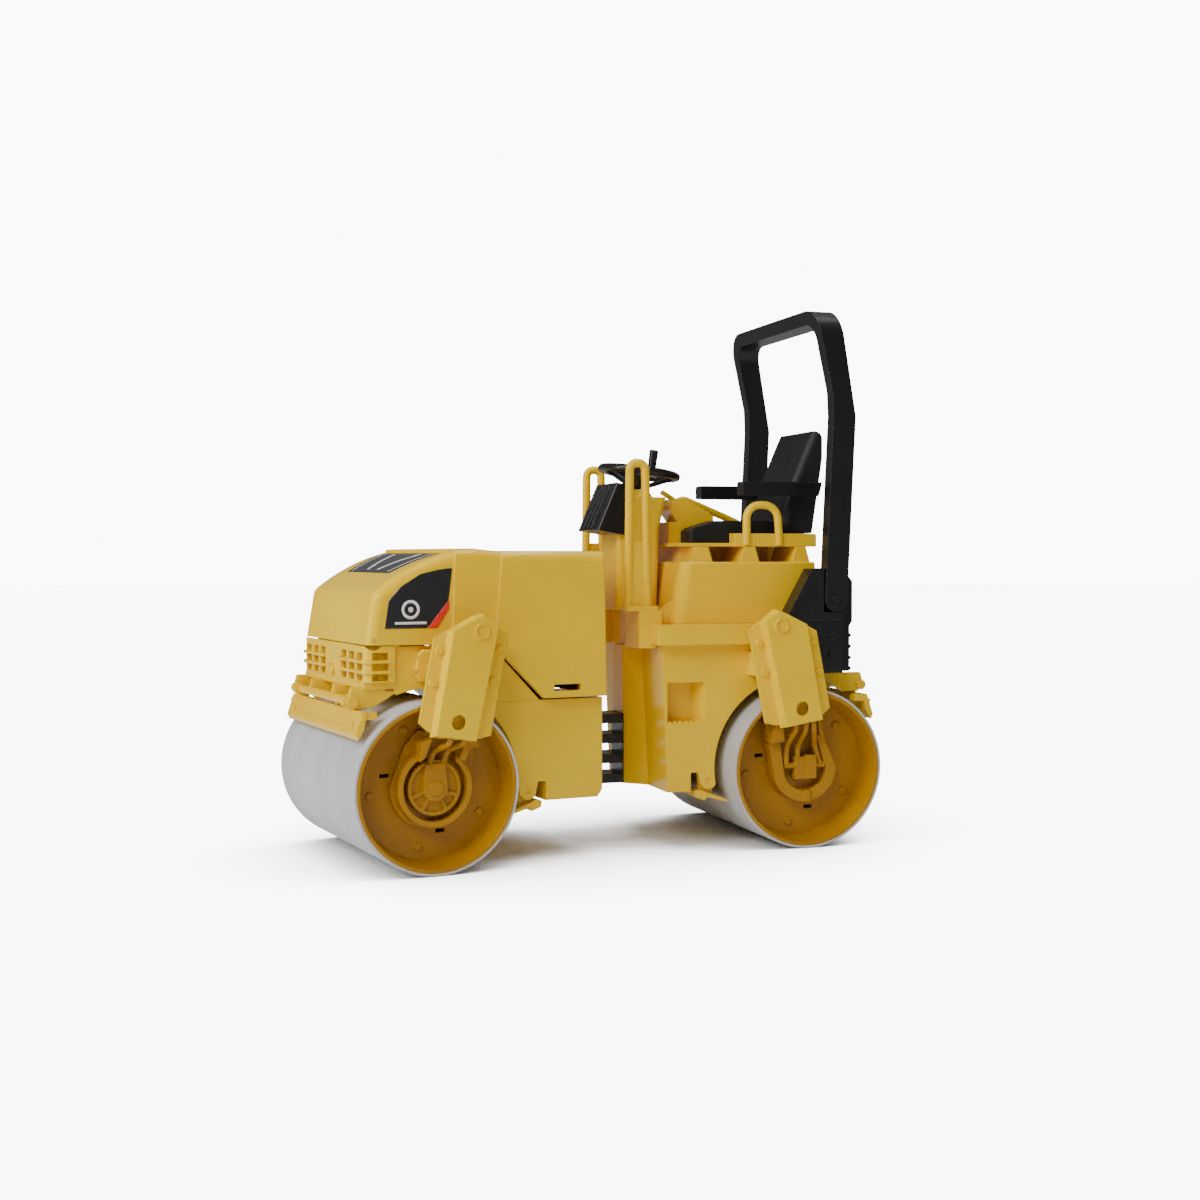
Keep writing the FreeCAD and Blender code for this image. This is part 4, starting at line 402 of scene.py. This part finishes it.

# ---- floor ----
# A plain pale floor. Its glow is seen by the camera only, so it doesn't light the toy,
# and it fades where the toy stands close over it: a painted contact shadow.

floor_mesh = bpy.data.meshes.new("floor")
reach = 6.0
floor_gap = 0.0002
glow = 8.5
floor_mesh.from_pydata([(-reach, -reach, 0), (reach, -reach, 0), (reach, reach, 0), (-reach, reach, 0)],
                       [], [(0, 1, 2, 3)])
floor = bpy.data.objects.new("floor", floor_mesh)
floor.location.z = -floor_gap
bpy.context.scene.collection.objects.link(floor)
pale, shader, place = start("pale_floor")
feed(shader, "Base Color", place.noise(3.0).ramp(0.3, 0.7).mix((0.88, 0.88, 0.885, 1),
                                                               (0.90, 0.90, 0.90, 1)))
feed(shader, "Roughness", 0.5 + place.noise(40.0) * 0.1)
seen = Socket(pale.node_tree, pale.node_tree.nodes.new("ShaderNodeLightPath").outputs[0])
# Ambient occlusion dims the floor's glow near the toy, painting a shadow under it.
painted_shadow_ao = place.node("ShaderNodeAmbientOcclusion", 1, {"samples": 8}, Distance=0.16)
feed(shader, "Emission Color", (seen * painted_shadow_ao.ramp(0.2, 1.0)).mix((0, 0, 0, 1), (1, 1, 1, 1)))
shader.inputs["Emission Strength"].default_value = glow
floor_mesh.materials.append(pale)


# ---- lights, sky and camera ----
# Soft boxes round the toy, and a sky that is bright to the camera and dim to the toy.


def softbox(name, place, target, size, power):
    light = bpy.data.lights.new(name, "AREA")
    light.shape = "RECTANGLE"
    light.size, light.size_y = size
    light.energy = power
    lamp = bpy.data.objects.new(name, light)
    bpy.context.scene.collection.objects.link(lamp)
    lamp.location = place
    lamp.rotation_euler = (Vector(target) - Vector(place)).to_track_quat("-Z", "Y").to_euler()


middle = (0.0, 0.0, 0.10)
softbox("key", (0.55, -1.05, 0.85), middle, (0.5, 0.5), 8.0)
softbox("top", (0.10, 0.10, 1.30), middle, (1.0, 1.0), 5.0)
softbox("strip", (0.0, 0.35, 1.15), middle, (1.1, 0.10), 3.0)
softbox("fill", (1.0, -0.75, 0.95), middle, (0.5, 0.5), 6.5)
softbox("edge", (0.20, -1.10, 0.30), (0.0, -0.1, 0.1), (0.10, 0.8), 5.0)
world = bpy.data.worlds.new("studio")
world.use_nodes = True
shown = world.node_tree.nodes.new("ShaderNodeLightPath")
sky_on_toy = 0.2
sky_seen = 9.8
strength = Socket(world.node_tree, shown.outputs["Is Camera Ray"]) * sky_seen + sky_on_toy
world.node_tree.nodes["Background"].inputs["Color"].default_value = (1, 1, 1, 1)
world.node_tree.links.new(strength.out, world.node_tree.nodes["Background"].inputs["Strength"])
bpy.context.scene.world = world

camera_data = bpy.data.cameras.new("camera")
camera_data.lens = 48.37
camera_data.sensor_width = 36.0
camera_data.clip_start = 0.01
camera = bpy.data.objects.new("camera", camera_data)
bpy.context.scene.collection.objects.link(camera)
camera.location = (0.7776, -0.2355, 0.1434)
camera.rotation_euler = Vector((-0.9531, 0.3015, -0.0281)).to_track_quat("-Z", "Y").to_euler()
bpy.context.scene.camera = camera
